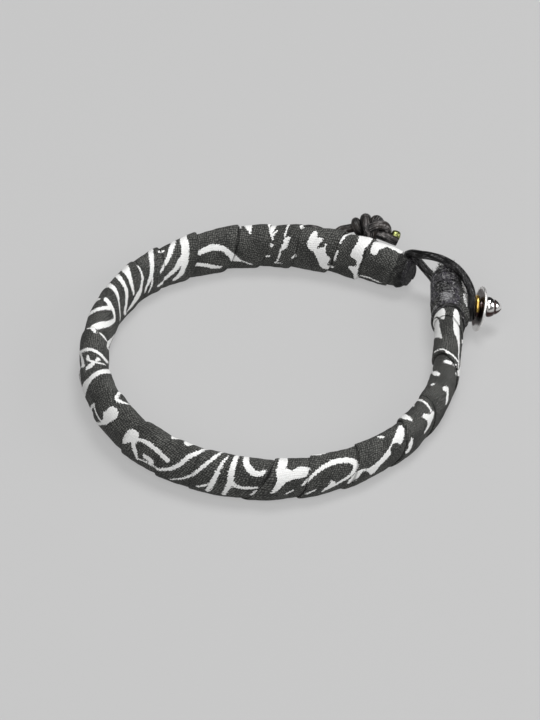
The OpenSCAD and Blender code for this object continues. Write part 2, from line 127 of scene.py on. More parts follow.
# The white print: bands and curls along the cloth
# columns of a line's points: distance along the band, degrees outward from the top, width of the line
PRINT_LINES = (
    ((4.7, -120, .4), (6, -117, .5), (7.5, -115, .5), (9, -121, .4)),
    ((9.8, -112, .9), (10.1, -150, .8)),
    ((14.3, -85, .5), (13.8, -57, .45)),
    ((13.5, -33, .35), (13.2, -10, .6), (12.7, 14, .5), (12.0, 28, .45), (11.3, 36, .4)),
    ((22.2, -84, .5), (22.8, -90, .5)),
    ((26.2, -116, .35), (25.5, -95, .35), (25.1, -75, .45)),
    ((24.4, -36, .3), (24.1, -15, .35), (23.8, 15, .5), (23.5, 40, .4)),
    ((24.9, -112, .35), (25.6, -112, .35)),
    ((21.1, 14, .6), (21.4, 3, .7)),
    ((27.3, -91, .4), (27.9, -92, .4)),
    ((26.8, -60, .7), (27.0, -58, .6)),
    ((26.7, -44, .3), (26.8, -30, .6)),
    ((26.6, -27, .6), (25.9, -15, .35)),
    ((32.6, 8, .3), (32.7, 30, .4)),
    ((30.8, -118, .4), (31.8, -112, .4), (33.0, -105, .5), (34.0, -100, 1.4), (34.8, -85, 1.3),
     (35.8, -68, 1.1), (36.8, -58, 1.1), (38.4, -51, 1.2), (39.8, -52, 1.2), (41.4, -57, .9)),
    ((37.2, -113, .6), (38.6, -108, .9), (40.4, -97, .8), (42.2, -90, .9)),
    ((42.4, 95, .9), (42.7, 60, 1.1), (43.1, 30, 1.2), (43.5, 10, 1.3), (43.9, -20, 1.6), (44.6, -60, 1.5),
     (45.3, -85, 1.2), (45.9, -100, 1.2), (47.2, -113, .8)),
    ((44.6, -50, 1.2), (46.2, -70, 1.2), (47.5, -85, 1.0), (49.5, -97, .9), (51.5, -104, .6)),
    ((44.4, 90, .6), (44.9, 40, .8), (45.6, 10, 1.0), (46.6, -15, 1.0), (47.8, -38, .9), (49.0, -53, .9),
     (50.6, -66, .6)),
    ((48.2, -8, .5), (49.3, -11, .5)),
    ((48.0, 95, .6), (49.0, 50, .8), (49.8, 28, .9), (50.6, 5, 1.0), (51.6, -25, 1.0), (52.6, -55, .9),
     (53.6, -75, .9), (54.6, -92, .6), (54.8, -105, .4)),
    ((52.8, -62, .35), (53.0, -85, .45), (53.8, -112, .45)),
    ((54.8, -15, .35), (55.0, -40, .7), (55.4, -60, .9), (56.4, -80, 1.2), (57.8, -91, 1.6),
     (59.6, -99, 1.2), (61.2, -108, .5)),
    ((58.9, -75, .5), (58.6, -50, .9), (57.9, -20, 1.1), (57.2, 5, 1.5), (56.4, 28, 1.6), (55.6, 60, 1.2),
     (54.8, 100, .8)),
    ((57.2, 90, .6), (58.3, 48, .7), (59.0, 20, .9), (59.8, -5, 1.0), (60.2, -30, .9), (60.6, -55, .9),
     (61.6, -78, .9), (62.4, -95, 1.0), (62.0, -110, .7)),
    ((59.6, 100, .7), (60.8, 58, .8), (61.8, 25, 1.0), (62.3, 5, 1.0), (62.9, -25, 1.0), (63.7, -50, .9),
     (64.6, -75, .9), (65.2, -95, .8), (65.0, -108, .5)),
    ((63.0, 110, .6), (64.4, 68, .9), (65.6, 42, 1.0), (66.2, 20, .4)),
    ((66.1, -6, 1.0), (66.6, -30, 1.1), (67.0, -55, .9), (67.8, -71, .9), (68.6, -68, .9),
     (70.2, -58, 1.0), (71.8, -42, 1.2), (73.2, -20, 1.5), (74.0, 0, 1.5), (74.3, 13, 1.0), (74.2, 28, .4)),
    ((74.4, 12, .5), (75.3, -2, .7), (75.9, -8, .4)),
    ((66.9, -40, .8), (67.8, -28, .9), (68.7, -10, .9), (69.4, 15, 1.1), (69.5, 35, 1.1), (68.8, 54, .9),
     (67.4, 85, .7), (66.2, 120, .6)),
    ((68.5, -112, .7), (70.5, -104, .9), (73, -90, 1.3), (75.5, -75, 1.3), (76.9, -63, .7)),
    ((75.4, -64, .5), (75.6, -45, .8), (75.5, -22, .35)),
    ((79.8, -80, .4), (81.0, -60, .9), (81.2, -35, 1.0), (80.8, -10, .8), (80.2, 10, .7), (79.6, 30, .7),
     (78.8, 50, .7), (77.6, 72, .8), (75.8, 92, .7), (74.2, 120, .5)),
    ((83.0, -48, .4), (84.0, -35, .5), (84.3, -20, .5), (84.0, 2, .5), (83.2, 18, .5), (82.0, 32, .5)),
    ((82.7, -16, 1.0), (83.2, -8, .8), (83.7, 2, .4)),
    ((83.9, 4, .4), (84.3, 22, 1.1), (84.2, 38, .7), (84.3, 46, .3)),
    ((82.6, 24, .4), (81.9, 28, .9), (81.3, 27, .5)),
    ((83.2, 44, .4), (81.8, 55, 1.1), (79.4, 60, .8), (78.6, 66, .4)),
    ((81.8, 62, .4), (80.6, 84, .5), (79.2, 104, .4)),
    ((81.6, 60, .5), (82.6, 80, .6), (83.8, 104, .6)),
    ((83.8, -66, .5), (85.2, -50, .9), (86.3, -30, 1.1), (86.8, 0, 1.2), (86.9, 30, 1.2), (86.7, 55, 1.4),
     (86.0, 80, 1.9), (84.8, 105, 1.8), (83.4, 125, 1.0)),
    ((91.5, -54, .4), (92.8, -35, .6), (93.9, -14, .6), (94.8, 0, .7), (95.7, -3, .8), (96.4, -20, .6),
     (96.3, -38, .4), (95.4, -52, .3)),
    ((94.7, 84, .5), (93.4, 86, .6), (92.0, 82, .6), (90.8, 74, .5), (89.5, 95, .6), (88.2, 122, .5)),
    ((94.7, 86, .5), (92.6, 110, .6), (91.0, 130, .5)),
    ((101.9, -45, .3), (102.2, -15, .4)),
    ((103.6, 50, .6), (105.5, 47, .8), (107.5, 53, .9), (109.6, 63, 1.0)),
    ((102.7, 68, .8), (103.4, 90, .9), (103.6, 106, .4)),
    ((105.2, 84, .9), (106.6, 86, 1.0), (106.2, 98, .5)),
    ((103.6, 103, .3), (105.2, 98, .4), (107.4, 98, .5), (109.0, 92, .6), (110.6, 80, .7),
     (112.0, 60, .75), (113.2, 32, .8), (114.3, 12, .75), (114.9, -8, .7), (115.1, -40, .6),
     (114.6, -80, .5)),
    ((110.0, 120, .3), (112.0, 104, .4), (114.0, 82, .5), (115.8, 50, .6), (117.2, 20, .65),
     (118.1, -10, .6), (118.3, -40, .5), (117.6, -85, .4)),
    ((119.8, -8, .3), (119.2, 20, .5), (118.3, 60, .8), (117.6, 90, .9), (116.7, 120, .7)),
    ((115.0, 110, .4), (116.8, 96, .5)),
    ((121.3, -70, .5), (121.2, -35, .7), (121.0, 10, .9), (120.7, 50, 1.0), (120.6, 75, 1.1),
     (120.0, 100, .8), (119.4, 125, .7)),
    ((120.8, 70, .6), (121.5, 83, .8), (123.2, 88, .7), (125.1, 84, .5)),
    ((122.8, -80, .7), (122.9, -35, 1.0), (122.9, 0, 1.1), (123.3, 22, 1.2), (124.2, 40, 1.2),
     (125.3, 44, 1.0), (126.2, 35, .7)),
    ((124.8, 96, .5), (124.0, 114, .6)),
    ((129.4, -75, .9), (129.6, -35, 1.4), (129.4, 0, 1.6), (129.0, 26, 1.5)),
    ((132.4, 82, .5), (133.6, 62, .6), (135.0, 45, .7), (136.8, 32, .85), (138.6, 27, 1.0),
     (140.4, 32, 1.1), (141.6, 46, 1.15), (141.7, 62, 1.0), (140.6, 82, .75), (138.8, 94, .7),
     (137.2, 104, .6), (135.6, 114, .4)),
    ((137.1, 82, .4), (137.3, 95, 1.2), (136.2, 107, .8)),
    ((130.8, 95, .4), (129.6, 105, .4)),
    ((134.4, 100, .4), (133.0, 113, .5)),
    ((144.2, 92, .7), (143.7, 83, .6), (142.9, 78, .6), (142.2, 81, .9), (141.3, 93, 1.2),
     (140.5, 110, .9)),
    ((148.0, -12, .6), (148.5, 1, .8)),
    ((151.4, -40, .5), (152.2, -28, .4)),
    ((153.3, 68, .8), (152.8, 84, 1.0), (152.1, 98, .7)),
    ((156.6, -75, .8), (156.0, -45, 1.2), (155.3, -20, 1.3), (155.2, 0, 1.0), (155.3, 18, .4)),
    ((161.8, -70, .4), (161.4, -50, .5), (160.7, -20, .5), (160.3, 10, .5), (160.0, 42, .5)),
    ((160.0, -50, .4), (158.9, -30, .35)),
    ((165.1, -16, .6), (165.3, -8, .6)),
    ((169.2, -40, .5), (168.5, -25, 1.1), (167.9, -6, .6)),
    ((171.6, -68, .6), (170.2, -55, .7), (169.3, -42, .5)),
    ((165.6, 38, 1.0), (166.2, 50, 1.1), (165.4, 62, .9), (164.6, 74, 1.0)),
    ((171.7, 2, .8), (171.9, 18, 1.0), (172.2, 40, .45), (172.3, 54, .3)),
    ((175.6, -60, .4), (174.9, -35, .4), (174.4, -12, .4), (173.7, 12, .5), (173.5, 52, .6)),
)

# Filled shapes of the print
# columns of a shape's corners: distance along the band, degrees outward from the top
PRINT_PATCHES = (
    ((1.5, 6), (3, 3), (4.8, 6), (5.2, -2), (5.9, -20), (6.0, -33), (6.6, -39), (7.3, -38), (7.6, -20),
     (7.5, 0), (7.8, 14), (7.2, 44), (5.6, 60), (3.6, 58), (2.0, 44)),
    ((8.0, 0), (8.2, -20), (8.7, -40), (8.6, -62), (9.1, -80), (9.4, -104), (10.1, -112), (10.6, -103),
     (11.3, -93), (11.0, -87), (9.8, -84), (9.6, -72), (10.3, -64), (11.1, -62), (10.8, -40), (10.3, -12),
     (10.7, 14), (10.2, 36), (9.2, 62), (8.6, 50), (8.1, 24)),
    ((14.4, -108), (14.6, -114), (16.4, -116), (17.2, -106), (17.7, -88), (18.6, -70), (19.6, -62),
     (20.0, -50), (19.6, -30), (19.0, -8), (18.6, -1), (18.2, -14), (18.1, -27), (16.8, -29), (17.2, -40),
     (17.9, -56), (17.6, -58), (16.6, -52), (16.2, -40), (16.0, -44), (16.1, -66), (15.2, -76),
     (15.0, -80), (15.4, -92), (15.6, -100)),
    ((25.0, -73), (24.2, -68), (23.8, -60), (23.5, -45), (23.2, -36), (23.8, -35), (24.4, -40),
     (24.6, -50), (25.1, -66)),
    ((26.9, -32), (27.3, -20), (27.5, 0), (27.7, 20), (27.9, 50), (27.2, 70), (26.3, 50), (26.0, 15),
     (26.3, -5), (26.6, -18)),
    ((31.0, -26), (31.4, -10), (31.7, 0), (32.0, 35), (31.8, 66), (31.0, 78), (30.3, 60), (30.5, 10),
     (30.6, -10)),
    ((95.0, 38), (95.3, 28), (96.2, 22), (97.1, 25), (97.6, 35), (97.3, 50), (96.6, 64), (95.6, 80),
     (94.8, 90), (94.4, 86), (94.6, 70), (94.2, 58), (94.9, 50)),
    ((101.0, 42), (102.4, 35), (103.3, 38), (103.5, 54), (103.1, 68), (102.3, 68), (101.5, 76),
     (100.4, 88), (100.1, 82), (100.4, 64)),
    ((128.1, 28), (129.8, 26), (130.8, 34), (132.2, 22), (133.8, 30), (133.6, 42), (133.0, 58),
     (131.0, 60), (129.6, 68), (128.6, 84), (127.4, 100), (127.2, 96), (127.7, 78), (128.2, 58)),
    ((107.9, -50), (108.4, -14), (109.3, -8), (110.0, -40)),
    ((111.0, -40), (111.2, -8), (112.2, 0), (112.8, -35)),
    ((134.2, -60), (134.8, -22), (135.9, -14), (137.2, -18), (138.2, -55)),
    ((153.1, -4), (153.0, 25), (152.2, 45), (151.2, 62), (150.8, 57), (150.2, 45), (149.2, 48),
     (148.8, 58), (148.6, 74), (147.2, 82), (146.0, 92), (144.9, 108), (144.2, 105), (143.9, 90),
     (143.4, 86), (143.6, 81), (145.4, 75), (147.0, 64), (148.6, 50), (150.0, 30), (151.6, 10)),
    ((157.6, 30), (158.4, 32), (159.2, 46), (160.2, 46), (160.6, 56), (159.6, 70), (158.4, 82),
     (157.0, 87), (156.7, 82), (157.8, 70), (158.1, 56), (157.6, 42)),
    ((177.5, -22), (179.6, -34), (181.4, -40), (183.2, -46), (184.2, -58), (184.8, -80), (185.0, -110),
     (181.6, -110), (181.2, -95), (180.0, -70), (178.8, -45)),
    ((182.6, -20), (184.0, -13), (185.0, -19), (186.0, -36), (187.0, -62), (187.0, -84), (185.9, -104),
     (185.0, -72), (183.8, -45), (182.9, -30)),
    ((172.4, 60), (174.5, 56), (176.8, 51), (178.0, 43), (178.9, 32), (179.4, 23), (181.7, 19),
     (183.4, 17), (184.8, 20), (185.2, 33), (184.8, 43), (183.4, 50), (181.0, 54), (179.6, 56),
     (177.4, 60), (175.0, 63), (172.8, 67)),
    ((188.0, 60), (190.3, 56), (190.8, 70), (191.2, 56), (193.5, 51), (196.0, 54), (196.6, 82),
     (194.4, 104), (190.0, 106), (187.8, 84)),
    ((171.0, 60), (173.0, 72), (176.0, 82), (180.0, 88), (182.4, 98), (178.4, 106), (174.0, 106),
     (172.0, 86)),
)

# Copies of the print on the sides away from the camera
# columns: from and to along the band, from and to in degrees, shift along the band, turn in degrees
PRINT_COPIES = (
    (99, 145, 15, 125, -97, 38),
    (12, 60, -120, -20, 90, -36),
    (12, 42, -120, -20, 134, -52),
)


# Settings that a user would change

def metres(name, description, default):
    return bpy.props.FloatProperty(
        name=name, description=description, default=default, subtype="DISTANCE", unit="LENGTH")


def tint(name, description, default):
    return bpy.props.FloatVectorProperty(
        name=name, description=description, default=default, size=3, min=0, max=1, subtype="COLOR")


def watts(name, description, default):
    return bpy.props.FloatProperty(name=name, description=description, default=default, min=0, unit="POWER")


class BraceletBandSettings(bpy.types.PropertyGroup):
    """Sizes and colours of the wound cloth"""

    ring_radius: metres("Ring radius", "Radius of the band's centreline over most of the ring", 0.0317)
    width: metres("Width", "Width of the wound band from the wrist side to the outer side", 0.0055)
    height: metres("Height", "Height of the wound band as it stands on its edge", 0.0086)
    sink: metres("Flattening", "Depth by which the soft band is flattened on the floor", 0.0003)
    edge_step: metres("Edge step", "Height of each turn's folded edge over the turn before", 0.00045)
    thread_pitch: metres("Thread pitch", "Distance from one thread of the weave to the next", 0.0004)
    firmness: bpy.props.FloatProperty(
        name="Firmness", description="How tightly the roll is filled with cloth, one being full",
        default=0.9, min=0, max=1)
    dark_colour: tint("Ground colour", "Colour of the cloth between the print", (0.02, 0.0205, 0.0198))
    # The raised threads' colour is partly painted highlight on their tops
    tips_and_highlight_colour: tint("Tips colour", "Colour of the raised threads of the ground", (0.14, 0.141, 0.132))
    print_colour: tint("Print colour", "Colour of the print", (0.83, 0.83, 0.82))


class BraceletCordSettings(bpy.types.PropertyGroup):
    """Sizes and colours of the leather cord, the thong and the thread bindings"""

    diameter: metres("Cord diameter", "Diameter of the round leather cord", 0.0015)
    thong_width: metres("Thong width", "Width of the thong lashed round the stud's end", 0.001)
    thong_thickness: metres("Thong thickness", "Thickness of the thong", 0.0008)
    thread_diameter: metres("Binding thread", "Diameter of the waxed thread over the ends", 0.00032)
    bead_thread_diameter: metres("Bead thread", "Diameter of the thread that the bead hangs on", 0.00068)
    leather_colour: tint("Leather colour", "Colour of the cord", (0.0062, 0.0061, 0.0062))
    thread_colour: tint("Thread colour", "Colour of the waxed thread", (0.024, 0.0228, 0.0256))


class BraceletMetalSettings(bpy.types.PropertyGroup):
    """Colours of the metal pieces"""

    white_metal: tint("White metal", "Colour of the stud", (0.86, 0.85, 0.84))
    brass: tint("Brass", "Colour of the ring on the stud's post", (0.83, 0.56, 0.14))
    bead_brass: tint("Bead brass", "Colour of the small bead", (0.25, 0.27, 0.1))


class BraceletStageSettings(bpy.types.PropertyGroup):
    """The floor, the light and the camera"""

    floor_colour: tint("Floor colour", "Colour of the plain floor", (0.17, 0.17, 0.17))
    floor_glow: bpy.props.FloatProperty(
        name="Floor glow", description="Brightness that the floor has of its own", default=0.362, min=0)
    sky_light: bpy.props.FloatProperty(
        name="Sky light", description="Strength of the light from all round", default=0.14, min=0)
    key_light: watts("Overhead lamp", "Power of the large lamp overhead", 8.2)
    front_light: watts("Front lamp", "Power of the large lamp in front", 17.0)
    side_light: watts("Side lamp", "Power of the lamp at the right", 6.0)
    camera_elevation: bpy.props.FloatProperty(
        name="Camera elevation", description="Angle of the camera above level",
        default=math.radians(42), subtype="ANGLE", unit="ROTATION")
    camera_distance: metres("Camera distance", "Distance from the camera to what it looks at", 0.8)
    lens: bpy.props.FloatProperty(
        name="Lens", description="Focal length in millimetres", default=220.0, min=1)


# The band's shape, in millimetres from the ring's centre

# How far past the band's ends its centreline is worked out, in degrees, and at how many places
PAST_ENDS = 6
PLACES = 3800
# Least height of any point over the floor
LOWEST = 0.02
# Angle at which the print's distances start
PRINT_START = 42.8
# The section's half axes for the print, and the degrees at which its outline is measured
NOMINAL_HALF_WIDTH = 2.75
NOMINAL_HALF_HEIGHT = 4.3
OUTLINE_DEGREES = np.arange(-200, 201)


class BandShape:
    """Centreline, section and winding of the band for arrays of angles in degrees"""

    def __init__(self, settings):
        self.ring_radius = settings.ring_radius / MM
        self.width = settings.width / MM
        self.height = (settings.height + settings.sink) / MM
        self.sink = settings.sink / MM
        self.tabulate()

    def tabulate(self):
        """Distance along the centreline at each place"""
        self.angles = np.linspace(A_END - PAST_ENDS, B_END + PAST_ENDS, PLACES)
        steps = np.linalg.norm(np.diff(self.spot(self.angles), axis=0), axis=1)
        lengths = np.concatenate([[0], np.cumsum(steps)])
        self.lengths = lengths - np.interp(PRINT_START, self.angles, lengths)

    def column(self, a, c):
        """Smooth value of one column of the table"""
        t = BAND_TABLE
        a = np.asarray(a, float)
        lean = np.gradient(t[:, c], t[:, 0])
        inner = slice(1, -1)
        lean[inner] = (t[2:, c] - t[:-2, c]) / (t[2:, 0] - t[:-2, 0])
        i = np.clip(np.searchsorted(t[:, 0], a) - 1, 0, len(t) - 2)
        span = t[i + 1, 0] - t[i, 0]
        x = np.clip((a - t[i, 0]) / span, 0, 1)
        low = (2 * x**3 - 3 * x**2 + 1) * t[i, c] + (x**3 - 2 * x**2 + x) * span * lean[i]
        high = (3 * x**2 - 2 * x**3) * t[i + 1, c] + (x**3 - x**2) * span * lean[i + 1]
        return low + high

    def spot(self, a):
        """Points of the centreline, seen from above"""
        r = self.ring_radius + self.column(a, RADIUS)
        angle = np.radians(a)
        return np.stack([r * np.cos(angle), r * np.sin(angle)], axis=-1)

    def outward(self, a):
        """Unit vectors away from the wrist"""
        d = self.spot(np.asarray(a) + 1) - self.spot(np.asarray(a) - 1)
        d = np.stack([d[..., 1], -d[..., 0]], axis=-1)
        return d / np.linalg.norm(d, axis=-1, keepdims=True)

    def half_width(self, a):
        return (self.width + self.column(a, WIDTH)) / 2

    def half_height(self, a):
        return (self.height + self.column(a, HEIGHT)) / 2

    def middle(self, a):
        return self.column(a, LIFT) - self.sink + self.half_height(a)

    def along(self, a):
        """Distance along the centreline"""
        return np.interp(a, self.angles, self.lengths)

    def apart(self, a, b):
        """Distance along the centreline between two angles"""
        return np.abs(self.along(a) - self.along(b))

    def unwound(self, q):
        """The angle at which so many turns are wound; a whole number is where an edge crosses the top"""
        return np.interp(q, TURN_NUMBERS, TURN_ANGLES)

    def surface(self, a, over, grow, scale=1.0):
        """Points of the section's outline; over is degrees outward from the top"""
        turned = np.radians(90 - np.asarray(over))
        reach = (self.half_width(a) + grow) * scale * np.cos(turned)
        flat = self.spot(a) + self.outward(a) * reach[..., None]
        z = self.middle(a) + (self.half_height(a) + grow) * scale * np.sin(turned)
        return np.concatenate([flat, np.maximum(z, LOWEST)[..., None]], axis=-1)


def outline_table():
    turned = np.radians(OUTLINE_DEGREES)
    speed = np.hypot(NOMINAL_HALF_WIDTH * np.cos(turned), NOMINAL_HALF_HEIGHT * np.sin(turned))
    lengths = np.concatenate([[0], np.cumsum((speed[1:] + speed[:-1]) / 2)]) * math.radians(1)
    return lengths - np.interp(0, OUTLINE_DEGREES, lengths)


OUTLINE_LENGTHS = outline_table()


def round_outline(over):
    """Millimetres round the section from the top"""
    return np.interp(over, OUTLINE_DEGREES, OUTLINE_LENGTHS)


# Curves and meshes

# The way that a tube's first side faces
FIRST_SIDE = (0.3, 0.5, 1.0)
# Least share of the section's area at a rounded end
END_LEFT = 0.02
# Waves that are added up for a rough surface, and how their number over a length varies
WAVES = 9
WAVE_SPREAD = (0.6, 1.6)
# A distance too small to matter
TINY = 1e-9


def smooth(points, steps, closed=False):
    """A smooth curve through the points, with the same rule as the part's source"""
    p = np.array(points, float)
    n = len(p)
    count = n if closed else n - 1
    found = []
    for i in range(count):
        at = [(i + k) % n if closed else min(max(i + k, 0), n - 1) for k in (-1, 0, 1, 2)]
        a, b, c, d = (p[k] for k in at)
        for t in np.arange(steps) / steps:
            bend = 2 * a - 5 * b + 4 * c - d
            turn = 3 * b - a - 3 * c + d
            found.append(0.5 * (2 * b + (c - a) * t + bend * t**2 + turn * t**3))
    if not closed:
        found.append(p[-1])
    return np.array(found)


def directions(line):
    d = np.gradient(line, axis=0)
    return d / np.linalg.norm(d, axis=1, keepdims=True)


def carried_frames(line):
    """Two unit vectors across the line at each point, turned as little as possible"""
    way = directions(line)
    side = np.array(FIRST_SIDE)
    found = []
    for t in way:
        side = side - np.dot(side, t) * t
        side = side / np.linalg.norm(side)
        found.append(side)
    u = np.array(found)
    return u, np.cross(u, way)


def grid_faces(rows, columns, closed):
    """Quads over a grid of points, closed round the columns or not"""
    r = np.arange(rows - 1)[:, None]
    c = np.arange(columns if closed else columns - 1)[None, :]
    after = (c + 1) % columns
    corners = (r * columns + c, r * columns + after, (r + 1) * columns + after, (r + 1) * columns + c)
    return np.stack(corners, -1).reshape(-1, 4)


def tube_faces(rings, sides):
    """Quads round a tube of so many rings, and one face over each end"""
    faces = grid_faces(rings, sides, True).tolist()
    faces.append(list(range(sides))[::-1])
    faces.append([(rings - 1) * sides + k for k in range(sides)])
    return faces


def degrees_round(sides):
    """Degrees outward from the top at each side of a closed section, from the top by way of the wrist"""
    return (180 - np.arange(sides) * 360 / sides) % 360 - 180


def to_metres(points):
    return (np.asarray(points) + RING_CENTRE) * MM


def mesh_piece(name, material, parts):
    """An object that rides on the body, of points from the ring's centre, faces and attributes"""
    points, faces, attributes = parts
    mesh = bpy.data.meshes.new(name)
    mesh.from_pydata(to_metres(points).tolist(), [], faces)
    mesh.update()
    mesh.shade_smooth()
    for key, values in attributes.items():
        kind = "FLOAT" if values.ndim == 1 else "FLOAT_VECTOR"
        layer = mesh.attributes.new(key, kind, "POINT")
        layer.data.foreach_set("value" if kind == "FLOAT" else "vector", values.astype(np.float32).ravel())
    mesh.materials.append(material)
    piece = bpy.data.objects.new(name, mesh)
    bpy.context.scene.collection.objects.link(piece)
    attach(piece, BODY)
    return piece


def tube_mesh(line, radii, sides, round_ends, flat=1.0):
    """Points, faces and grain of a tube rounded over some length at its ends, and flattened or not"""
    u, v = carried_frames(line)
    n = len(line)
    lengths = np.concatenate([[0], np.cumsum(np.linalg.norm(np.diff(line, axis=0), axis=1))])
    radii = np.broadcast_to(np.asarray(radii, float), (n,)).copy()
    for end, reach in zip((lengths, lengths[-1] - lengths), round_ends):
        if reach > 0:
            x = np.clip(end / reach, 0, 1)
            radii *= np.sqrt(np.clip(1 - (1 - x) ** 2, END_LEFT, 1))
    turn = np.arange(sides) * 2 * math.pi / sides
    cosine, sine = np.cos(turn)[None, :], np.sin(turn)[None, :]
    across = cosine[..., None] * u[:, None, :] + flat * sine[..., None] * v[:, None, :]
    points = line[:, None, :] + radii[:, None, None] * across
    grain = np.zeros((n, sides, 3))
    grain[..., 0] = lengths[:, None]
    grain[..., 1] = cosine * radii.max()
    grain[..., 2] = sine * radii.max()
    return points.reshape(-1, 3), tube_faces(n, sides), {"grain": grain.reshape(-1, 3)}


def joined(meshes):
    """One mesh of several (points, faces, attributes) meshes"""
    faces = []
    offset = 0
    for points, mesh_faces, _ in meshes:
        faces.extend([[k + offset for k in face] for face in mesh_faces])
        offset += len(points)
    attributes = {key: np.concatenate([m[2][key] for m in meshes]) for key in meshes[0][2]}
    return np.concatenate([m[0] for m in meshes]), faces, attributes


def rough(points, seed, scale, strength):
    """Smooth random heights at points, from a sum of waves"""
    rng = np.random.default_rng(seed)
    total = np.zeros(len(points))
    for _ in range(WAVES):
        way = rng.normal(size=3)
        way *= (2 * math.pi / scale) * rng.uniform(*WAVE_SPREAD) / np.linalg.norm(way)
        total += np.sin(points @ way + rng.uniform(0, 2 * math.pi))
    return strength * total / math.sqrt(WAVES)


# Node materials

# Colours beside those in the settings
# Painted shade in the cloth's creases, under its folds and over its core
PAINTED_SHADE_COLOUR = (0.006, 0.006, 0.006)
THIN_PRINT = (0.42, 0.42, 0.41)
WAX_GRAINS = (0.2, 0.2, 0.195)
# Painted glints and painted shine of the wax
WAX_GLINTS = (0.42, 0.41, 0.43)
WAX_SHINE = (0.36, 0.36, 0.37)
# Painted shade on the bound ends
PAINTED_WAX_SHADE = (0.004, 0.004, 0.0045)
# The wax's black and its purple, over the thread's colour; the purple is partly painted sheen
WAX_BLACK = 0.35
WAX_PURPLE = (1.7, 1.6, 1.9)
FIBRE_COLOURS = ((0.03, 0.03, 0.029), (0.3, 0.3, 0.29))
# Dark of the metal's patina and of the painted dark reflection on undersides and on the disc's face
PATINA_AND_REFLECTION_COLOURS = ((0.045, 0.025, 0.026), (0.2, 0.13, 0.07))
WHITE_METAL_TARNISH = (0.6, 0.56, 0.54)
BRASS_TARNISH = (0.5, 0.3, 0.05)
BEAD_TARNISH = (0.2, 0.24, 0.07)
# How much paler the leather's streaks are than the leather, the streaks being partly painted highlight, and
# its dull patches
LEATHER_STREAK_AND_HIGHLIGHT = 20
LEATHER_DULL = 1.5
# The knot's leather: its colour over the loop's, where and over what distance painted shade darkens it to
# the right, in what share and to what colour over its own
KNOT_PALE = 1.5
KNOT_SHADE_FROM = 0.0175
KNOT_SHADE_EASE = 0.003
KNOT_SHADE_SHARE = 0.8
KNOT_SHADE = 0.6
# Depth of each finish's bumps, in metres
WEAVE_BUMP = 0.00011
LEATHER_BUMP = 0.00018
WAX_BUMP = 0.0002
SCRATCH_BUMP = 0.00001


class Recipe:
    """A material's node tree, built a node at a time"""

    def __init__(self, name):
        self.material = bpy.data.materials.new(name)
        self.material.use_nodes = True
        self.tree = self.material.node_tree
        self.tree.nodes.clear()
        self.shader = self.add("ShaderNodeBsdfPrincipled")
        output = self.add("ShaderNodeOutputMaterial")
        self.tree.links.new(self.shader.outputs[0], output.inputs["Surface"])

    def add(self, kind, inputs=None, **settings):
        node = self.tree.nodes.new(kind)
        for key, value in settings.items():
            setattr(node, key, value)
        for key, value in (inputs or {}).items():
            self.feed(node.inputs[key], value)
        return node

    def feed(self, socket, value):
        if isinstance(value, bpy.types.NodeSocket):
            self.tree.links.new(value, socket)
        else:
            socket.default_value = value

    def set(self, **values):
        for key, value in values.items():
            self.feed(self.shader.inputs[key.replace("_", " ").title().replace("Ior", "IOR")], value)

    def maths(self, operation, a, b=0.0, c=0.0):
        return self.add("ShaderNodeMath", {0: a, 1: b, 2: c}, operation=operation).outputs[0]

    def ramp(self, value, low, high, to_low=0.0, to_high=1.0):
        inputs = {"Value": value, "From Min": low, "From Max": high, "To Min": to_low, "To Max": to_high}
        return self.add("ShaderNodeMapRange", inputs, interpolation_type="SMOOTHSTEP").outputs[0]

    def noise(self, vector, scale, detail=2.0, roughness=0.5):
        inputs = {"Vector": vector, "Scale": scale, "Detail": detail, "Roughness": roughness}
        return self.add("ShaderNodeTexNoise", inputs).outputs[0]

    def stretched(self, vector, **settings):
        inputs = {key.title(): value for key, value in settings.items()}
        return self.add("ShaderNodeMapping", {"Vector": vector, **inputs}).outputs[0]

    def mixed(self, factor, a, b):
        node = self.add("ShaderNodeMix", data_type="RGBA", blend_type="MIX")
        for index, value in ((0, factor), (6, a), (7, b)):
            if not isinstance(value, (bpy.types.NodeSocket, float)):
                value = (*value, 1.0)
            self.feed(node.inputs[index], value)
        return node.outputs[2]

    def place(self):
        return self.add("ShaderNodeTexCoord").outputs["Object"]

    def attribute(self, name):
        return self.add("ShaderNodeAttribute", attribute_name=name)

    def bump(self, height, distance, strength):
        inputs = {"Height": height, "Distance": distance, "Strength": strength}
        self.set(normal=self.add("ShaderNodeBump", inputs).outputs[0])


def woven(m, band, cloth):
    """Height of the plain weave and its uneven threads, from zero to one each"""
    parts = m.add("ShaderNodeSeparateXYZ", {0: cloth})
    wave = math.pi / (band.thread_pitch / MM)
    threads = []
    for part, source in ((0, cloth), (1, m.stretched(cloth, location=(40.0, 9.0, 3.0)))):
        uneven = m.noise(source, scale=0.9, detail=1.0)
        place = m.maths("MULTIPLY_ADD", uneven, 0.7, parts.outputs[part])
        threads.append(m.maths("SINE", m.maths("MULTIPLY", place, wave)))
    crossing = m.maths("MULTIPLY", *threads)
    weave = m.maths("MULTIPLY_ADD", m.maths("ABSOLUTE", crossing), 0.9, m.maths("MULTIPLY", crossing, 0.1))
    return weave, m.noise(cloth, scale=2.8, detail=2.0, roughness=0.6)


